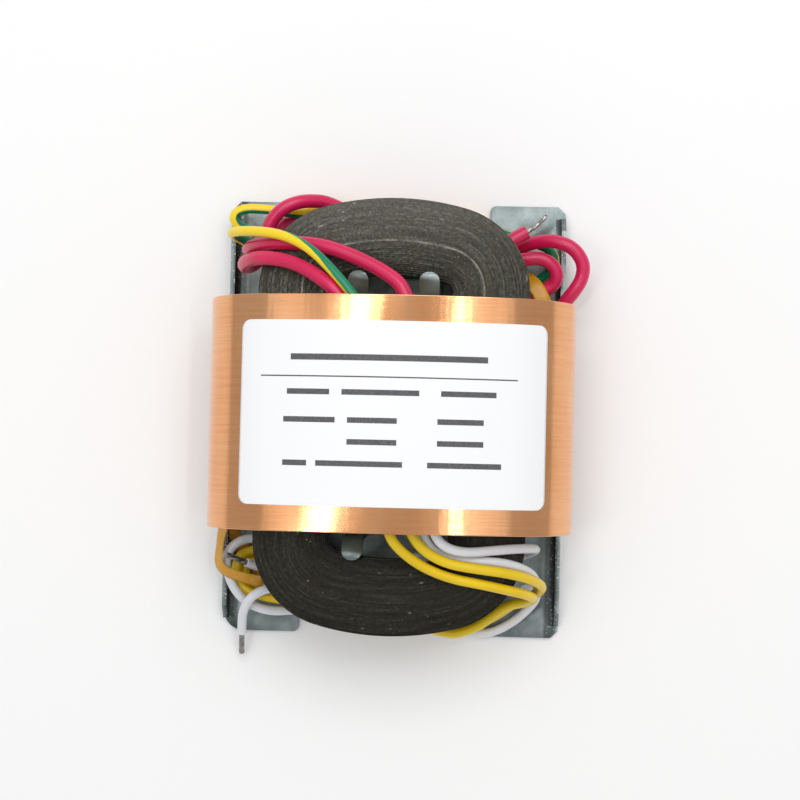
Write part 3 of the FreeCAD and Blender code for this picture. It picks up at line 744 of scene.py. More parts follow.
@dataclass
class Label:
    """The label without lettering, with a thin rule and rows of plain bars."""

    path: StrapPath
    width: float = 51.1 * MM
    length: float = 30 * MM
    shift: float = 0.85 * MM
    thickness: float = 0.12 * MM
    corner: float = 1.6 * MM
    lift: float = 0.02 * MM
    ink_lift: float = 0.012 * MM
    row_height_mm: float = 0.9

    def plan(self, a: np.ndarray, b: np.ndarray, inset: float) -> tuple[np.ndarray, np.ndarray]:
        """Places on a rounded rectangle: the half width shrinks in a quarter circle near both ends.

        Args:
            a: Across, -1 to 1.
            b: Along, -1 to 1.
            inset: How far inside the label's edge the rectangle's edge lies.

        Returns:
            The distance across and the distance along.
        """
        half_width = self.width / 2 - inset
        half_length = self.length / 2 - inset
        corner = self.corner - inset
        y = b * half_length
        past = np.clip(np.abs(y) - (half_length - corner), 0, corner)
        reach = half_width - corner + np.sqrt(np.maximum(corner**2 - past**2, 0))
        return self.shift + a * reach, y

    def build(self) -> None:
        """Lay the film on the crown and the ink on the film."""
        across = np.linspace(-1, 1, 121)
        corner_share = self.corner / (self.length / 2)
        bend = 1 - corner_share * (1 - np.sin(np.linspace(0, math.pi / 2, 9)))
        middle = np.linspace(-bend[0], bend[0], 40)
        along = np.concatenate([-bend[::-1], middle[1:-1], bend])
        a, b = np.meshgrid(across, along)
        s, y = self.plan(a, b, 0.0)
        x, z = self.path.at(s, self.lift)
        points = np.stack([x, y, z], axis=-1)
        uv = np.stack([(a + 1) / 2, (b + 1) / 2], axis=-1)
        film = surface("label_film", points, uv, Closing.OPEN)
        solid = film.modifiers.new("film_thickness", "SOLIDIFY")
        solid.thickness = self.thickness
        solid.offset = 1
        dress(film, CoatedFilm().make())
        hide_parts("label")
        self.print_rows()

    def print_rows(self) -> None:
        """One long rule under a heading bar, and rows of short bars."""
        bars = [(-16.0, 16.0, 9.0, 1.0), (-21.0, 21.0, 5.9, 0.22)]
        rows = (
            (3.4, ((-16.5, -9.5), (-7.5, 5.0), (8.5, 17.5))),
            (-1.1, ((-17.0, -8.5), (-6.5, 1.5), (8.0, 15.5))),
            (-4.6, ((-6.5, 1.5), (8.0, 15.5))),
            (-8.1, ((-17.0, -13.0), (-11.5, 2.5), (6.5, 18.5))),
        )
        for y, spans in rows:
            bars.extend((start, stop, y, self.row_height_mm) for start, stop in spans)
        starts, stops, middles, heights = (np.array(column) * MM for column in zip(*bars))
        share = np.linspace(0, 1, 61)
        s = starts[:, None] + (stops - starts)[:, None] * share
        x, z = self.path.at(s, self.lift + self.thickness + self.ink_lift)
        edges = (np.broadcast_to(y[:, None], x.shape) for y in (middles - heights / 2, middles + heights / 2))
        vertices = np.stack([np.stack([x, y, z], axis=-1) for y in edges], axis=2).reshape(-1, 3)
        count, steps = s.shape
        start = (np.arange(count)[:, None] * steps + np.arange(steps - 1)).ravel() * 2
        faces = np.stack([start, start + 2, start + 3, start + 1], axis=1)
        mesh = bpy.data.meshes.new("label_rows")
        mesh.from_pydata(vertices.tolist(), [], faces.tolist())
        mesh.update()
        ink = placed("label_rows", mesh)
        dress(ink, PrintInk().make())


@dataclass
class WoundCore:
    """The ring of steel strip with a round section, whose turns show as fine steps."""

    finish: StripSteel = StripSteel()
    radius: float = 6.5 * MM
    leg_x: float = 16.55 * MM
    corner_radius: float = 8.5 * MM
    crown_radius: float = 38.5 * MM
    half_length: float = 37.1 * MM
    centre_z: float = 15.6 * MM
    turns: int = 44
    unevenness: float = 0.07 * MM
    level_seed: int = 21
    level_share: float = 0.6
    drift_seed: int = 100
    drift_waves: int = 9
    along: int = 420

    def centre_line(self, share: np.ndarray) -> tuple[np.ndarray, np.ndarray, np.ndarray]:
        """Places on the ring's centre line.

        Args:
            share: 0 to 1 round the ring, from the middle of the +X leg towards +Y.

        Returns:
            The points, the outward directions and the distances along. Each quarter is half a leg, a corner arc
            and half a crowned yoke, and the other quarters mirror it.
        """
        corner_x = self.leg_x - self.corner_radius
        half_crown = math.asin(corner_x / (self.crown_radius - self.corner_radius))
        yoke_y = self.half_length - self.radius
        crown_y = yoke_y - self.crown_radius
        corner_y = crown_y + math.cos(half_crown) * (self.crown_radius - self.corner_radius)
        turn = math.pi / 2 - half_crown
        pieces = np.array([corner_y, self.corner_radius * turn, self.crown_radius * half_crown])
        quarter = pieces.sum()
        distance = share * 4 * quarter
        lap = distance % (2 * quarter)
        mirrored = lap > quarter
        d = np.where(mirrored, 2 * quarter - lap, lap)
        corner_turn = np.clip((d - pieces[0]) / self.corner_radius, 0, turn)
        crown_turn = np.clip((d - pieces[0] - pieces[1]) / self.crown_radius, 0, half_crown)
        angle = corner_turn + crown_turn
        normal_x = np.cos(angle)
        normal_y = np.sin(angle)
        on_crown = d > pieces[0] + pieces[1]
        x = np.where(on_crown, self.crown_radius * normal_x, corner_x + self.corner_radius * normal_x)
        yoke = np.where(on_crown, crown_y + self.crown_radius * normal_y, corner_y + self.corner_radius * normal_y)
        y = np.where(d <= pieces[0], d, yoke)
        second_half = distance >= 2 * quarter
        flip_x = np.where(mirrored != second_half, -1.0, 1.0)
        flip_y = np.where(second_half, -1.0, 1.0)
        points = np.stack([flip_x * x, flip_y * y], axis=-1)
        outward = np.stack([flip_x * normal_x, flip_y * normal_y], axis=-1)
        return points, outward, distance

    def build(self) -> None:
        """Carry the stepped round section along the centre line.

        Turn k lies between the offsets -r + k w and -r + (k + 1) w, where w is the strip's thickness, and reaches
        up and down to the circle at its middle, h = sqrt(r^2 - offset^2). Its edges stand a little lower than
        that, by a random amount that drifts along the ring.
        """
        share = np.arange(self.along) / self.along
        points, outward, distance = self.centre_line(share)
        edges = np.linspace(-self.radius, self.radius, self.turns + 1)
        height = np.sqrt(self.radius**2 - ((edges[1:] + edges[:-1]) / 2) ** 2)
        inward = np.arange(self.turns)[::-1]
        turn = np.concatenate([np.repeat(inward, 2), np.repeat(inward[::-1], 2)])
        upper = np.stack([edges[inward + 1], edges[inward]], axis=1).ravel()
        offset = np.concatenate([upper, upper[::-1]])
        above = np.where(np.arange(len(turn)) < 2 * self.turns, 1.0, -1.0)
        level = np.random.default_rng(self.level_seed).uniform(0, 1, self.turns)
        seeds = range(self.drift_seed, self.drift_seed + self.turns)
        drift = np.stack([smooth_noise(share, seed, self.drift_waves) for seed in seeds], axis=1)
        lowered = self.level_share * level[None, :] + (1 - self.level_share) * np.abs(drift)
        sink = self.unevenness * np.clip(lowered, 0, 1)
        xy = points[:, None, :] + outward[:, None, :] * offset[None, :, None]
        z = self.centre_z + above[None, :] * (height[turn][None, :] - sink[:, turn])
        grid = np.concatenate([xy, z[:, :, None]], axis=-1)
        along_uv = np.append(distance, distance[-1] + distance[1]) / MM / MAP_UNIT
        across_uv = np.append(turn, turn[0]) / MAP_UNIT
        uv = np.stack(np.meshgrid(along_uv, across_uv, indexing="ij"), axis=-1)
        ring = surface("wound_core", grid, uv, Closing.TORUS, smooth=False)
        dress(ring, self.finish.make())
        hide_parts("core")


@dataclass
class Bracket:
    """The zinc-plated bracket and the two yoke clamps welded to it."""

    finish: ZincPlate = ZincPlate()

    def build(self) -> None:
        """Round the edges of the three sheet metal pieces a little, as punching and plating leave them."""
        zinc = self.finish.make()
        widths = {"mounting_bracket": 0.1, "primary_end_yoke_clamp": 0.2, "secondary_end_yoke_clamp": 0.2}
        for node, width in widths.items():
            rounded_copy(node, zinc, width * MM)


@dataclass
class Coils:
    """Bobbins, windings and wraps on both legs, and the insulation round them."""

    nylon: Plastic = Plastic("nylon", srgb(236, 230, 212), srgb(222, 214, 190), 0.42, 0.3, 0.02)
    tape: FilmTape = FilmTape("wrap_tape", srgb(214, 186, 96), srgb(186, 152, 66), 0.0)
    wire: CoiledWire = CoiledWire()
    paper: Plastic = Plastic("insulating_paper", srgb(150, 118, 82), srgb(128, 98, 66), 0.75, 0.15, 0.03)
    joint: FilmTape = FilmTape("joint_tape", srgb(226, 208, 150), srgb(200, 176, 112), 0.0)

    def build(self) -> None:
        """Dress the CAD nodes of both legs."""
        nylon = self.nylon.make()
        tape = self.tape.make()
        wire = self.wire.make()
        copper = BrushedCopper(name="screen_copper").make()
        on_each_leg = (
            (nylon, ("bobbin_upper_half", "bobbin_lower_half")),
            (wire, ("primary_winding", "secondary_winding")),
            (tape, ("interlayer_tape", "coil_wrap")),
            (copper, ("screen_foil",)),
        )
        for side in ("left", "right"):
            for material, nodes in on_each_leg:
                for node in nodes:
                    finish_node(f"{side}_{node}", material)
        finish_node("insulation_sleeve", self.paper.make())
        joint = self.joint.make()
        for end in ("primary", "secondary"):
            finish_node(f"{end}_joint_wrap", joint)


@dataclass
class Lead:
    """One flying lead with its stripped and tinned end."""

    name: str
    slot: str
    diameter: float
    length: float
    route: Route
    material: Material
    with_pieces: tuple[Piece, ...] = ()
    striped: bool = False
    stripe_turns: tuple[tuple[float, float], ...] = ((0.0, 0.0),)
    tip_length: float = 4.6 * MM
    tip_diameter: float = 1.0 * MM
    tip_bend: float = 0.0
    tip_start: float = -0.5 * MM
    tip_rounding: float = 0.45 * MM
    tip_sway: float = 0.04 * MM
    tip_sides: int = 42
    strands: int = 7
    groove: float = 0.07
    twist_per_mm: float = 0.55

    def curve(self) -> Piece:
        """The lead's line: a smooth spline whose control points are the route."""
        data = bpy.data.curves.new(self.name + "_route", "CURVE")
        data.dimensions = "3D"
        data.resolution_u = 8
        spline = data.splines.new("NURBS")
        spline.points.add(len(self.route) - 1)
        control = np.ones((len(self.route), 4))
        control[:, :3] = np.array(self.route) * MM
        spline.points.foreach_set("co", control.ravel())
        spline.order_u = 3
        spline.use_endpoint_u = True
        return placed(self.name + ("_route" if self.striped else "_insulation"), data)

    def tube(self, line: Piece) -> tuple[Piece, np.ndarray]:
        """A round tube along the line, whose map runs round it and along it.

        Args:
            line: The curve without a bevel.

        Returns:
            The tube and the points that it follows. A ring lies at p + r (cos t u + sin t v), where u is carried
            from ring to ring with no twist and v is the tangent's cross product with it.
        """
        bpy.context.view_layer.update()
        sampled = bpy.data.meshes.new_from_object(line.evaluated_get(bpy.context.evaluated_depsgraph_get()))
        path = np.empty(len(sampled.vertices) * 3)
        sampled.vertices.foreach_get("co", path)
        path = path.reshape(-1, 3)
        bpy.data.meshes.remove(sampled)
        tangent = np.gradient(path, axis=0)
        tangent /= np.linalg.norm(tangent, axis=1, keepdims=True)
        carried = np.empty_like(path)
        direction = np.cross(tangent[0], (0.0, 0.0, 1.0))
        for index, ahead in enumerate(tangent):
            direction = direction - ahead * direction.dot(ahead)
            direction = direction / np.linalg.norm(direction)
            carried[index] = direction
        other = np.cross(tangent, carried)
        t = (2 * math.pi * np.arange(TUBE_SIDES) / TUBE_SIDES)[None, :, None]
        rings = path[:, None] + self.diameter / 2 * (np.cos(t) * carried[:, None] + np.sin(t) * other[:, None])
        distance = np.append(0, np.cumsum(np.linalg.norm(np.diff(path, axis=0), axis=1))) / MM / MAP_UNIT
        stations, turns = np.array(self.stripe_turns).T
        turned = np.interp(distance * MAP_UNIT, stations, turns)
        around = np.arange(TUBE_SIDES + 1) / TUBE_SIDES
        uv = np.zeros((len(path) + 1, TUBE_SIDES + 1, 2))
        uv[:-1, :, 0] = around[None, :] + turned[:, None]
        uv[:-1, :, 1] = distance[:, None]
        uv[-1] = uv[-2]
        return surface(self.name + "_insulation", rings, uv, Closing.CAPPED), path

    def tip(self) -> Piece:
        """The stripped end: strands twisted together and coated in solder.

        The radius at an angle t and a distance d is r (1 - groove + groove cos(strands (t - twist d))), and shrinks
        in a half round over the last stretch.
        """
        end = np.array(self.route[-1]) * MM
        before = np.array(self.route[-2]) * MM
        ahead = (end - before) / np.linalg.norm(end - before)
        side = np.cross(ahead, (0.0, 0.0, 1.0))
        side /= np.linalg.norm(side)
        upward = np.cross(side, ahead)
        straight = self.tip_length - self.tip_rounding
        nose = straight + self.tip_rounding * np.sin(np.linspace(0.2, 1.5, 8))
        d = np.concatenate([np.linspace(self.tip_start, straight, 40), nose])
        past = np.clip((d - straight) / self.tip_rounding, 0, 1)
        shrink = np.sqrt(1 - past**2)
        t = 2 * math.pi * np.arange(self.tip_sides) / self.tip_sides
        turned = self.strands * (t[None, :] - d[:, None] / MM * self.twist_per_mm)
        strand = 1 + self.groove * np.cos(turned) - self.groove
        radius = self.tip_diameter / 2 * shrink[:, None] * strand
        past_end = np.maximum(d, 0) / self.tip_length
        sway = self.tip_sway * smooth_noise(past_end, len(self.name), waves=3, lowest=0.4) * (d > 0)
        centre = end + ahead * d[:, None] + upward * sway[:, None] + side * (self.tip_bend * past_end**2)[:, None]
        grid = centre[:, None] + radius[..., None] * (np.cos(t)[:, None] * side + np.sin(t)[:, None] * upward)
        return surface(self.name + "_tip", grid, share_map(len(d), self.tip_sides), Closing.CAPPED)

    def build(self, tinned: Material, node: str) -> None:
        """Args:
            tinned: The tip's material.
            node: The CAD node that the lead replaces.
        """
        line = self.curve()
        if self.striped:
            piece, path = self.tube(line)
            bpy.data.objects.remove(line)
        else:
            piece = line
            piece.data.bevel_depth = self.diameter / 2
            piece.data.bevel_resolution = 5
            piece.data.use_fill_caps = True
        dress(piece, self.material)
        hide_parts(node)
        tip = dress(self.tip(), tinned)
        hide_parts(node + "_conductor")


@dataclass
class TapeTie:
    """Film tape wound once round a bundle of leads."""

    name: str
    node: str
    route: Route
    width: float = 2.7 * MM
    thickness: float = 0.12 * MM
    steps: int = 12
    lines: int = 9
    wrinkle_height: float = 0.1 * MM
    wrinkle_seed: int = 40
    wander_reach: float = 0.12 * MM
    wander_seed: int = 71

    def build(self, material: Material) -> Piece:
        """Carry a flat section round a closed smooth line through the route's points.

        Args:
            material: The tape's material.

        Returns:
            The piece. Between the points b and c, whose neighbours are a and d, the line at a share t is
            (2 b + (c - a) t + (2 a - 5 b + 4 c - d) t^2 + (3 b - a - 3 c + d) t^3) / 2. The tape faces away from
            the loop's middle, and wrinkles add a smooth random height.
        """
        b = np.array(self.route) * MM
        a, c, d = (np.roll(b, shift, axis=0) for shift in (1, -1, -2))
        t = (np.arange(self.steps) / self.steps)[None, :, None]
        a, b, c, d = (points[:, None, :] for points in (a, b, c, d))
        line = (2 * b + (c - a) * t + (2 * a - 5 * b + 4 * c - d) * t**2 + (3 * b - a - 3 * c + d) * t**3) / 2
        line = line.reshape(-1, 3)
        ahead = np.roll(line, -1, axis=0) - np.roll(line, 1, axis=0)
        ahead /= np.linalg.norm(ahead, axis=1, keepdims=True)
        facing = line - line.mean(axis=0)
        facing -= ahead * (facing * ahead).sum(axis=1, keepdims=True)
        facing /= np.linalg.norm(facing, axis=1, keepdims=True)
        side = np.cross(ahead, facing)
        count = len(line)
        share = np.arange(count) / count
        half = self.thickness / 2
        flat = np.linspace(-0.5, 0.5, self.lines) * self.width
        across = np.concatenate([flat, flat[::-1]])
        height = np.repeat([half, -half], self.lines)
        seeds = range(self.wrinkle_seed, self.wrinkle_seed + self.lines)
        wrinkle = self.wrinkle_height * np.stack([smooth_noise(share, seed) for seed in seeds], axis=1)
        wrinkle = np.concatenate([wrinkle, wrinkle[:, ::-1]], axis=1)
        wander = self.wander_reach * smooth_noise(share, self.wander_seed, waves=3)
        raised = (height[None, :] + wrinkle)[..., None]
        grid = line[:, None] + facing[:, None] * raised + side[:, None] * (across[None, :] + wander[:, None])[..., None]
        piece = surface(self.name, grid, share_map(count, 2 * self.lines), Closing.TORUS)
        dress(piece, material)
        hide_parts(self.node)
        return piece


@dataclass
class Harness:
    """All seven leads and the two ties that hold their loops."""

    red: Plastic = Plastic("red_insulation", srgb(222, 30, 92), srgb(204, 22, 80), 0.34, 0.4, 0.012, 0.12)
    yellow: Plastic = Plastic("yellow_insulation", srgb(242, 208, 12), srgb(228, 190, 6), 0.34, 0.4, 0.012, 0.12)
    white: Plastic = Plastic("white_insulation", srgb(234, 236, 241), srgb(220, 222, 230), 0.34, 0.4, 0.012, 0.12)
    striped: StripedPlastic = StripedPlastic("yellow_green_insulation", srgb(252, 220, 34), srgb(0, 132, 94))
    amber: FilmTape = FilmTape("amber_tape", srgb(238, 180, 22), srgb(214, 146, 8), 0.2)

    def build(self) -> None:
        """Make the ties first and then the leads, two of which are given a tie's piece."""
        tape = self.amber.make()
        left = TapeTie("left_tape_tie", "left_lead_tie", LEFT_TIE).build(tape)
        right = TapeTie("right_tape_tie", "right_lead_tie", RIGHT_TIE).build(tape)
        red, yellow, white, striped = (
            plastic.make() for plastic in (self.red, self.yellow, self.white, self.striped)
        )
        tinned = TinnedStrand().make()
        bent_tip = {"tip_diameter": 0.8 * MM, "tip_bend": -0.9 * MM}
        stripe = {"striped": True, "stripe_turns": STRIPE_TURNS}
        plans = (
            ("red_lead_a", "red_insulation", 2.4, 156.8, RED_LEAD_A, red, {"with_pieces": (right,)}),
            ("red_lead_b", "red_insulation", 2.4, 99.8, RED_LEAD_B, red, bent_tip),
            ("yellow_green_lead", "yellow_green_insulation", 1.7, 170.9, YELLOW_GREEN_LEAD, striped, stripe),
            ("yellow_lead_a", "yellow_insulation", 1.7, 107.7, YELLOW_LEAD_A, yellow, {"with_pieces": (left,)}),
            ("yellow_lead_b", "yellow_insulation", 1.7, 104.6, YELLOW_LEAD_B, yellow, {}),
            ("white_lead_a", "white_insulation", 1.6, 88.5, WHITE_LEAD_A, white, {}),
            ("white_lead_b", "white_insulation", 1.6, 143.2, WHITE_LEAD_B, white, {}),
        )
        for node, slot, diameter, length, route, material, more in plans:
            lead = Lead(node, slot, diameter * MM, length * MM, route, material, **more)
            lead.build(tinned, node)
            log.info("lead %s", node)


@dataclass
class Studio:
    """Plain floor, soft light and the photograph's camera."""

    camera_at: Triple = (11.2, -6.3, 300.0)
    camera_turn: Triple = (0.0328, 0.0338, 0.0232)
    focal_px: float = 1675.0
    frame_px: float = 800.0
    sensor_mm: float = 36.0
    floor_half: float = 1.5
    floor_drop: float = 0.05 * MM
    floor_colour: Colour = (0.98, 0.98, 0.98)
    room_light: float = 0.53

    def build(self) -> None:
        """Set the stage, the light and the camera."""
        self.floor()
        self.lights()
        self.camera()
        bpy.context.scene.view_settings.view_transform = "Standard"

    def floor(self) -> None:
        """A wide pale floor just under the bracket, as bright as paper to the camera."""
        edge = self.floor_half
        corners = [(x, y, -self.floor_drop) for x, y in ((-edge, -edge), (edge, -edge), (edge, edge), (-edge, edge))]
        mesh = bpy.data.meshes.new("floor")
        mesh.from_pydata(corners, [], [(0, 1, 2, 3)])
        floor = placed("floor", mesh)
        sheet = Sheet("floor_paper")
        grain = sheet.noise(300, 2, 0.5)
        pale = tuple(channel * 0.995 for channel in self.floor_colour)
        sheet.set(base_color=sheet.mix(grain, self.floor_colour, pale), roughness=0.9)
        mesh.materials.append(sheet.material)

    def lights(self) -> None:
        """A large soft lamp beyond the object's far side, two strip lamps along it and a dim even room."""
        world = bpy.data.worlds.new("soft_room")
        bpy.context.scene.world = world
        world.use_nodes = True
        background = world.node_tree.nodes["Background"].inputs
        background["Color"].default_value = (1, 1, 1, 1)
        background["Strength"].default_value = self.room_light
        self.lamp("far_lamp", (0.04, 0.33, 0.58), (0.5, 0.36), 1.5)
        self.lamp("left_strip_lamp", (-0.155, 0.015, 0.6), (0.035, 0.34), 0.46, -43)
        self.lamp("right_strip_lamp", (0.17, 0.04, 0.6), (0.02, 0.4), 0.26)
        self.lamp("left_panel", (-0.31, 0.06, 0.56), (0.12, 0.5), 0.1)
        self.lamp("right_panel", (0.25, 0.06, 0.56), (0.12, 0.5), 0.1)

    def lamp(self, name: str, where: Triple, size: tuple[float, float], power: float, turn: float = 0) -> None:
        """A rectangular soft lamp that looks at the object, its second side along Y before its turn in degrees."""
        data = bpy.data.lights.new(name, "AREA")
        data.shape = "RECTANGLE"
        data.size, data.size_y = size
        data.energy = power
        lamp = placed(name, data)
        back = Vector(where).normalized()
        across = Vector((0, 1, 0)).cross(back).normalized()
        facing = Matrix((across, back.cross(across), back)).transposed().to_4x4()
        lamp.matrix_world = Matrix.Translation(where) @ facing @ Matrix.Rotation(math.radians(turn), 4, "Z")

    def camera(self) -> None:
        """The photograph's camera, above the object and looking almost straight down."""
        data = bpy.data.cameras.new("camera")
        data.sensor_width = self.sensor_mm
        data.lens = self.sensor_mm * self.focal_px / self.frame_px
        data.clip_start = 0.01
        camera = placed("camera", data)
        turn_x, turn_y, turn_z = self.camera_turn
        turned = Matrix.Rotation(turn_z, 4, "Z") @ Matrix.Rotation(turn_y, 4, "Y") @ Matrix.Rotation(turn_x, 4, "X")
        camera.matrix_world = Matrix.Translation(Vector(self.camera_at) * MM) @ turned
        bpy.context.scene.camera = camera


# Lead routes in millimetres, from the wrapped joint to the stripped end
RED_LEAD_A: Route = [
    (-5.0, 14.9, 28.4), (-8.8, 19.9, 28.7), (-11.9, 22.3, 27.4), (-15.6, 24.5, 25.6), (-19.3, 25.6, 23.8),
    (-23.2, 26.0, 21.0), (-25.8, 25.8, 16.0), (-26.2, 25.3, 11.4), (-24.9, 26.2, 7.8), (-23.3, 29.1, 6.0),
    (-21.5, 32.3, 4.8), (-19.6, 34.7, 3.6), (-17.0, 34.7, 2.5), (-9.0, 33.2, 2.2), (-1.0, 33.0, 2.0),
    (7.0, 32.6, 2.4), (12.6, 31.6, 3.8), (17.3, 28.8, 6.4), (19.6, 28.0, 6.8), (22.4, 28.1, 7.4),
    (25.0, 28.5, 7.6), (27.3, 27.4, 7.4), (28.2, 25.5, 6.8), (27.5, 23.6, 5.8), (22.4, 21.4, 5.1),
    (17.8, 22.0, 5.1), (15.0, 24.8, 5.0), (15.8, 28.6, 2.6), (19.9, 29.2, 2.9), (21.7, 30.6, 4.6),
    (24.3, 31.4, 6.6), (27.5, 31.4, 8.4), (30.6, 30.3, 9.0), (32.6, 27.6, 8.6), (32.4, 24.9, 8.0),
    (31.0, 22.6, 7.8), (29.4, 20.7, 6.8), (27.5, 17.0, 4.0), (27.1, 13.0, 3.6),
]
RED_LEAD_B: Route = [
    (3.4, 15.2, 28.8), (2.6, 20.5, 28.6), (-1.7, 23.7, 27.0), (-6.4, 26.0, 25.8), (-11.1, 27.7, 24.8),
    (-15.6, 28.3, 23.6), (-20.0, 28.5, 21.2), (-23.7, 28.6, 17.4), (-25.7, 28.4, 12.8), (-25.3, 28.5, 9.4),
    (-23.7, 30.0, 8.4), (-22.7, 32.5, 8.8), (-21.6, 34.6, 9.2), (-19.9, 36.2, 9.6), (-17.5, 37.3, 9.0),
    (-15.2, 37.7, 8.0), (-12.4, 37.7, 6.8), (-7.0, 35.2, 5.0), (0.0, 35.2, 4.8), (7.0, 34.6, 5.6),
    (12.0, 33.6, 7.2), (16.2, 33.1, 8.8), (18.8, 30.5, 9.4), (20.6, 31.6, 9.4), (22.5, 32.7, 9.2),
]
YELLOW_GREEN_LEAD: Route = [
    (-2.6, 14.6, 29.8), (-6.4, 19.6, 30.0), (-9.7, 23.3, 29.2), (-13.2, 26.7, 27.6), (-16.9, 28.9, 25.6),
    (-20.7, 30.0, 23.2), (-24.6, 30.6, 20.2), (-27.8, 30.9, 16.4), (-28.5, 31.1, 12.0), (-28.0, 30.9, 8.2),
    (-26.3, 30.4, 5.0), (-23.6, 29.5, 3.0), (-20.4, 27.5, 2.2), (-10.0, 26.2, 2.6), (0.0, 25.6, 2.7),
    (10.0, 25.2, 2.6), (20.0, 24.4, 1.8), (24.1, 24.4, 2.6), (26.8, 26.1, 3.8), (28.0, 28.2, 4.2),
    (27.1, 30.3, 4.0), (24.6, 31.5, 3.0), (21.6, 32.1, 2.0), (14.0, 35.0, 1.7), (7.0, 36.0, 1.4),
    (0.0, 36.0, 1.3), (-8.0, 35.9, 1.8), (-14.5, 37.0, 3.2), (-16.8, 35.8, 4.8), (-19.9, 35.9, 5.8),
    (-23.4, 36.3, 6.2), (-27.0, 36.4, 6.4), (-28.9, 35.5, 6.6), (-29.0, 34.1, 6.4), (-27.7, 32.9, 5.6),
    (-25.6, 32.6, 4.6),
]
YELLOW_LEAD_A: Route = [
    (-0.8, -15.0, 29.4), (0.4, -19.6, 29.2), (2.5, -22.2, 27.6), (5.9, -24.7, 25.8), (10.6, -26.6, 24.4),
    (15.2, -27.4, 23.4), (19.8, -28.4, 21.6), (23.5, -29.4, 18.2), (25.0, -30.4, 14.0), (23.5, -31.4, 10.6),
    (20.8, -32.0, 8.8), (18.5, -33.6, 7.4), (16.3, -35.7, 6.4), (13.5, -37.1, 5.4), (10.6, -37.9, 4.6),
    (4.0, -35.9, 3.8), (-4.0, -35.9, 3.6), (-12.0, -33.9, 4.0), (-16.2, -32.9, 4.4), (-19.6, -32.4, 4.4),
    (-23.1, -31.9, 4.4), (-25.4, -31.0, 4.4), (-26.9, -29.3, 4.4), (-27.3, -27.2, 4.4), (-26.9, -25.2, 4.2),
    (-25.4, -24.1, 3.6), (-20.0, -22.8, 3.0),
]
YELLOW_LEAD_B: Route = [
    (2.0, -15.0, 28.6), (4.3, -20.1, 28.2), (7.1, -22.7, 26.8), (10.5, -24.2, 25.8), (15.1, -24.9, 25.0),
    (19.7, -25.5, 23.6), (23.8, -26.6, 20.0), (26.3, -28.1, 15.2), (25.8, -29.6, 11.0), (23.8, -30.8, 7.8),
    (21.3, -32.3, 5.8), (18.7, -34.4, 4.4), (15.1, -36.3, 3.4), (4.0, -33.6, 2.2), (-4.0, -33.4, 1.8),
    (-12.0, -31.6, 2.0), (-16.4, -31.3, 2.2), (-20.3, -31.7, 2.4), (-23.8, -30.9, 2.5), (-25.6, -29.0, 2.4),
    (-26.0, -27.1, 2.2), (-24.8, -25.5, 2.0), (-19.4, -25.4, 1.9),
]
WHITE_LEAD_A: Route = [
    (6.4, -15.2, 29.0), (7.8, -19.6, 28.6), (10.0, -21.6, 27.0), (13.2, -22.3, 25.4), (17.3, -21.9, 24.0),
    (21.2, -21.6, 21.8), (24.2, -21.7, 18.0), (25.2, -22.1, 13.2), (24.6, -22.8, 8.8), (22.5, -23.9, 5.2),
    (19.3, -25.4, 3.2), (10.0, -26.0, 2.7), (0.0, -25.6, 2.6), (-10.0, -25.9, 2.7), (-15.6, -26.8, 2.9),
    (-20.4, -27.6, 4.6), (-23.1, -26.8, 6.3), (-25.1, -25.9, 7.8),
]
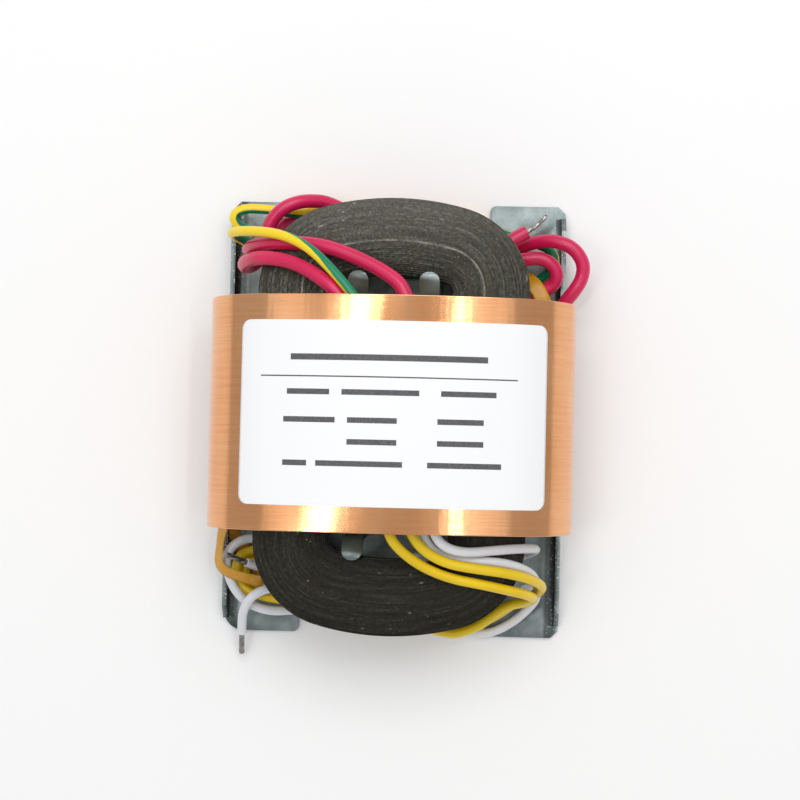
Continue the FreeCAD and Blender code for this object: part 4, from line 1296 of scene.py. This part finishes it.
WHITE_LEAD_B: Route = [
    (4.4, -15.2, 27.3), (6.2, -20.6, 26.0), (8.8, -22.9, 24.2), (13.3, -23.6, 23.5), (18.6, -23.8, 22.9),
    (22.1, -24.7, 20.4), (24.4, -26.2, 15.8), (25.2, -27.5, 10.6), (25.9, -29.4, 7.2), (25.5, -31.6, 4.8),
    (24.0, -33.5, 3.2), (22.0, -35.4, 2.4), (19.4, -37.0, 2.0), (16.2, -38.1, 1.8), (7.0, -35.8, 1.7),
    (0.0, -35.8, 1.6), (-7.0, -35.8, 1.7), (-15.1, -34.2, 2.4), (-18.0, -34.5, 3.4), (-20.6, -34.6, 4.2),
    (-23.0, -34.1, 4.8), (-25.3, -33.0, 5.4), (-27.2, -30.9, 6.0), (-28.4, -28.3, 6.4), (-28.8, -25.7, 6.6),
    (-28.2, -23.6, 6.6), (-26.5, -22.2, 6.2), (-24.5, -21.7, 5.4), (-18.4, -21.8, 4.6), (-15.0, -25.0, 4.8),
    (-15.6, -29.0, 5.8), (-18.4, -30.5, 7.2), (-20.8, -30.2, 8.0), (-22.8, -30.9, 8.4), (-24.4, -32.2, 8.2),
    (-25.5, -34.3, 7.0), (-25.9, -36.4, 5.4), (-26.0, -38.5, 4.2),
]


# Tape routes in millimetres, round the leads and back
LEFT_TIE: Route = [
    (-29.2, -19.6, 5.2), (-29.7, -21.4, 7.1), (-30.0, -24.3, 7.8), (-29.9, -26.2, 8.0), (-28.6, -27.5, 8.1),
    (-26.0, -28.4, 8.0), (-23.7, -28.9, 7.2), (-22.0, -29.2, 5.2), (-22.4, -28.2, 2.6), (-25.4, -25.4, 1.2),
    (-28.4, -21.4, 1.8),
]
RIGHT_TIE: Route = [
    (22.4, 25.4, 4.6), (23.6, 24.3, 6.4), (24.8, 22.6, 7.1), (25.8, 20.8, 7.2), (26.6, 19.0, 5.8),
    (26.4, 19.2, 2.6), (24.8, 21.8, 1.6), (23.0, 24.6, 2.0),
]

# Where the stripe of the yellow and green lead lies: distance along in millimetres and part of a turn
STRIPE_TURNS = ((0, 0.625), (10, 0.62), (26, 0.33), (60, 0.3), (95, 0.25), (120, 0.25), (138, 0.5), (171, 0.5))


def main() -> None:
    """Build every sub-assembly in order."""
    logging.basicConfig(level=logging.INFO, format="%(message)s")
    path = StrapPath()
    parts = (WoundCore(), Coils(), CopperStrap(path), Label(path), Bracket(), Harness(), Studio())
    for part in parts:
        part.build()
        log.info("built %s", type(part).__name__)


if __name__ == "__main__":
    main()
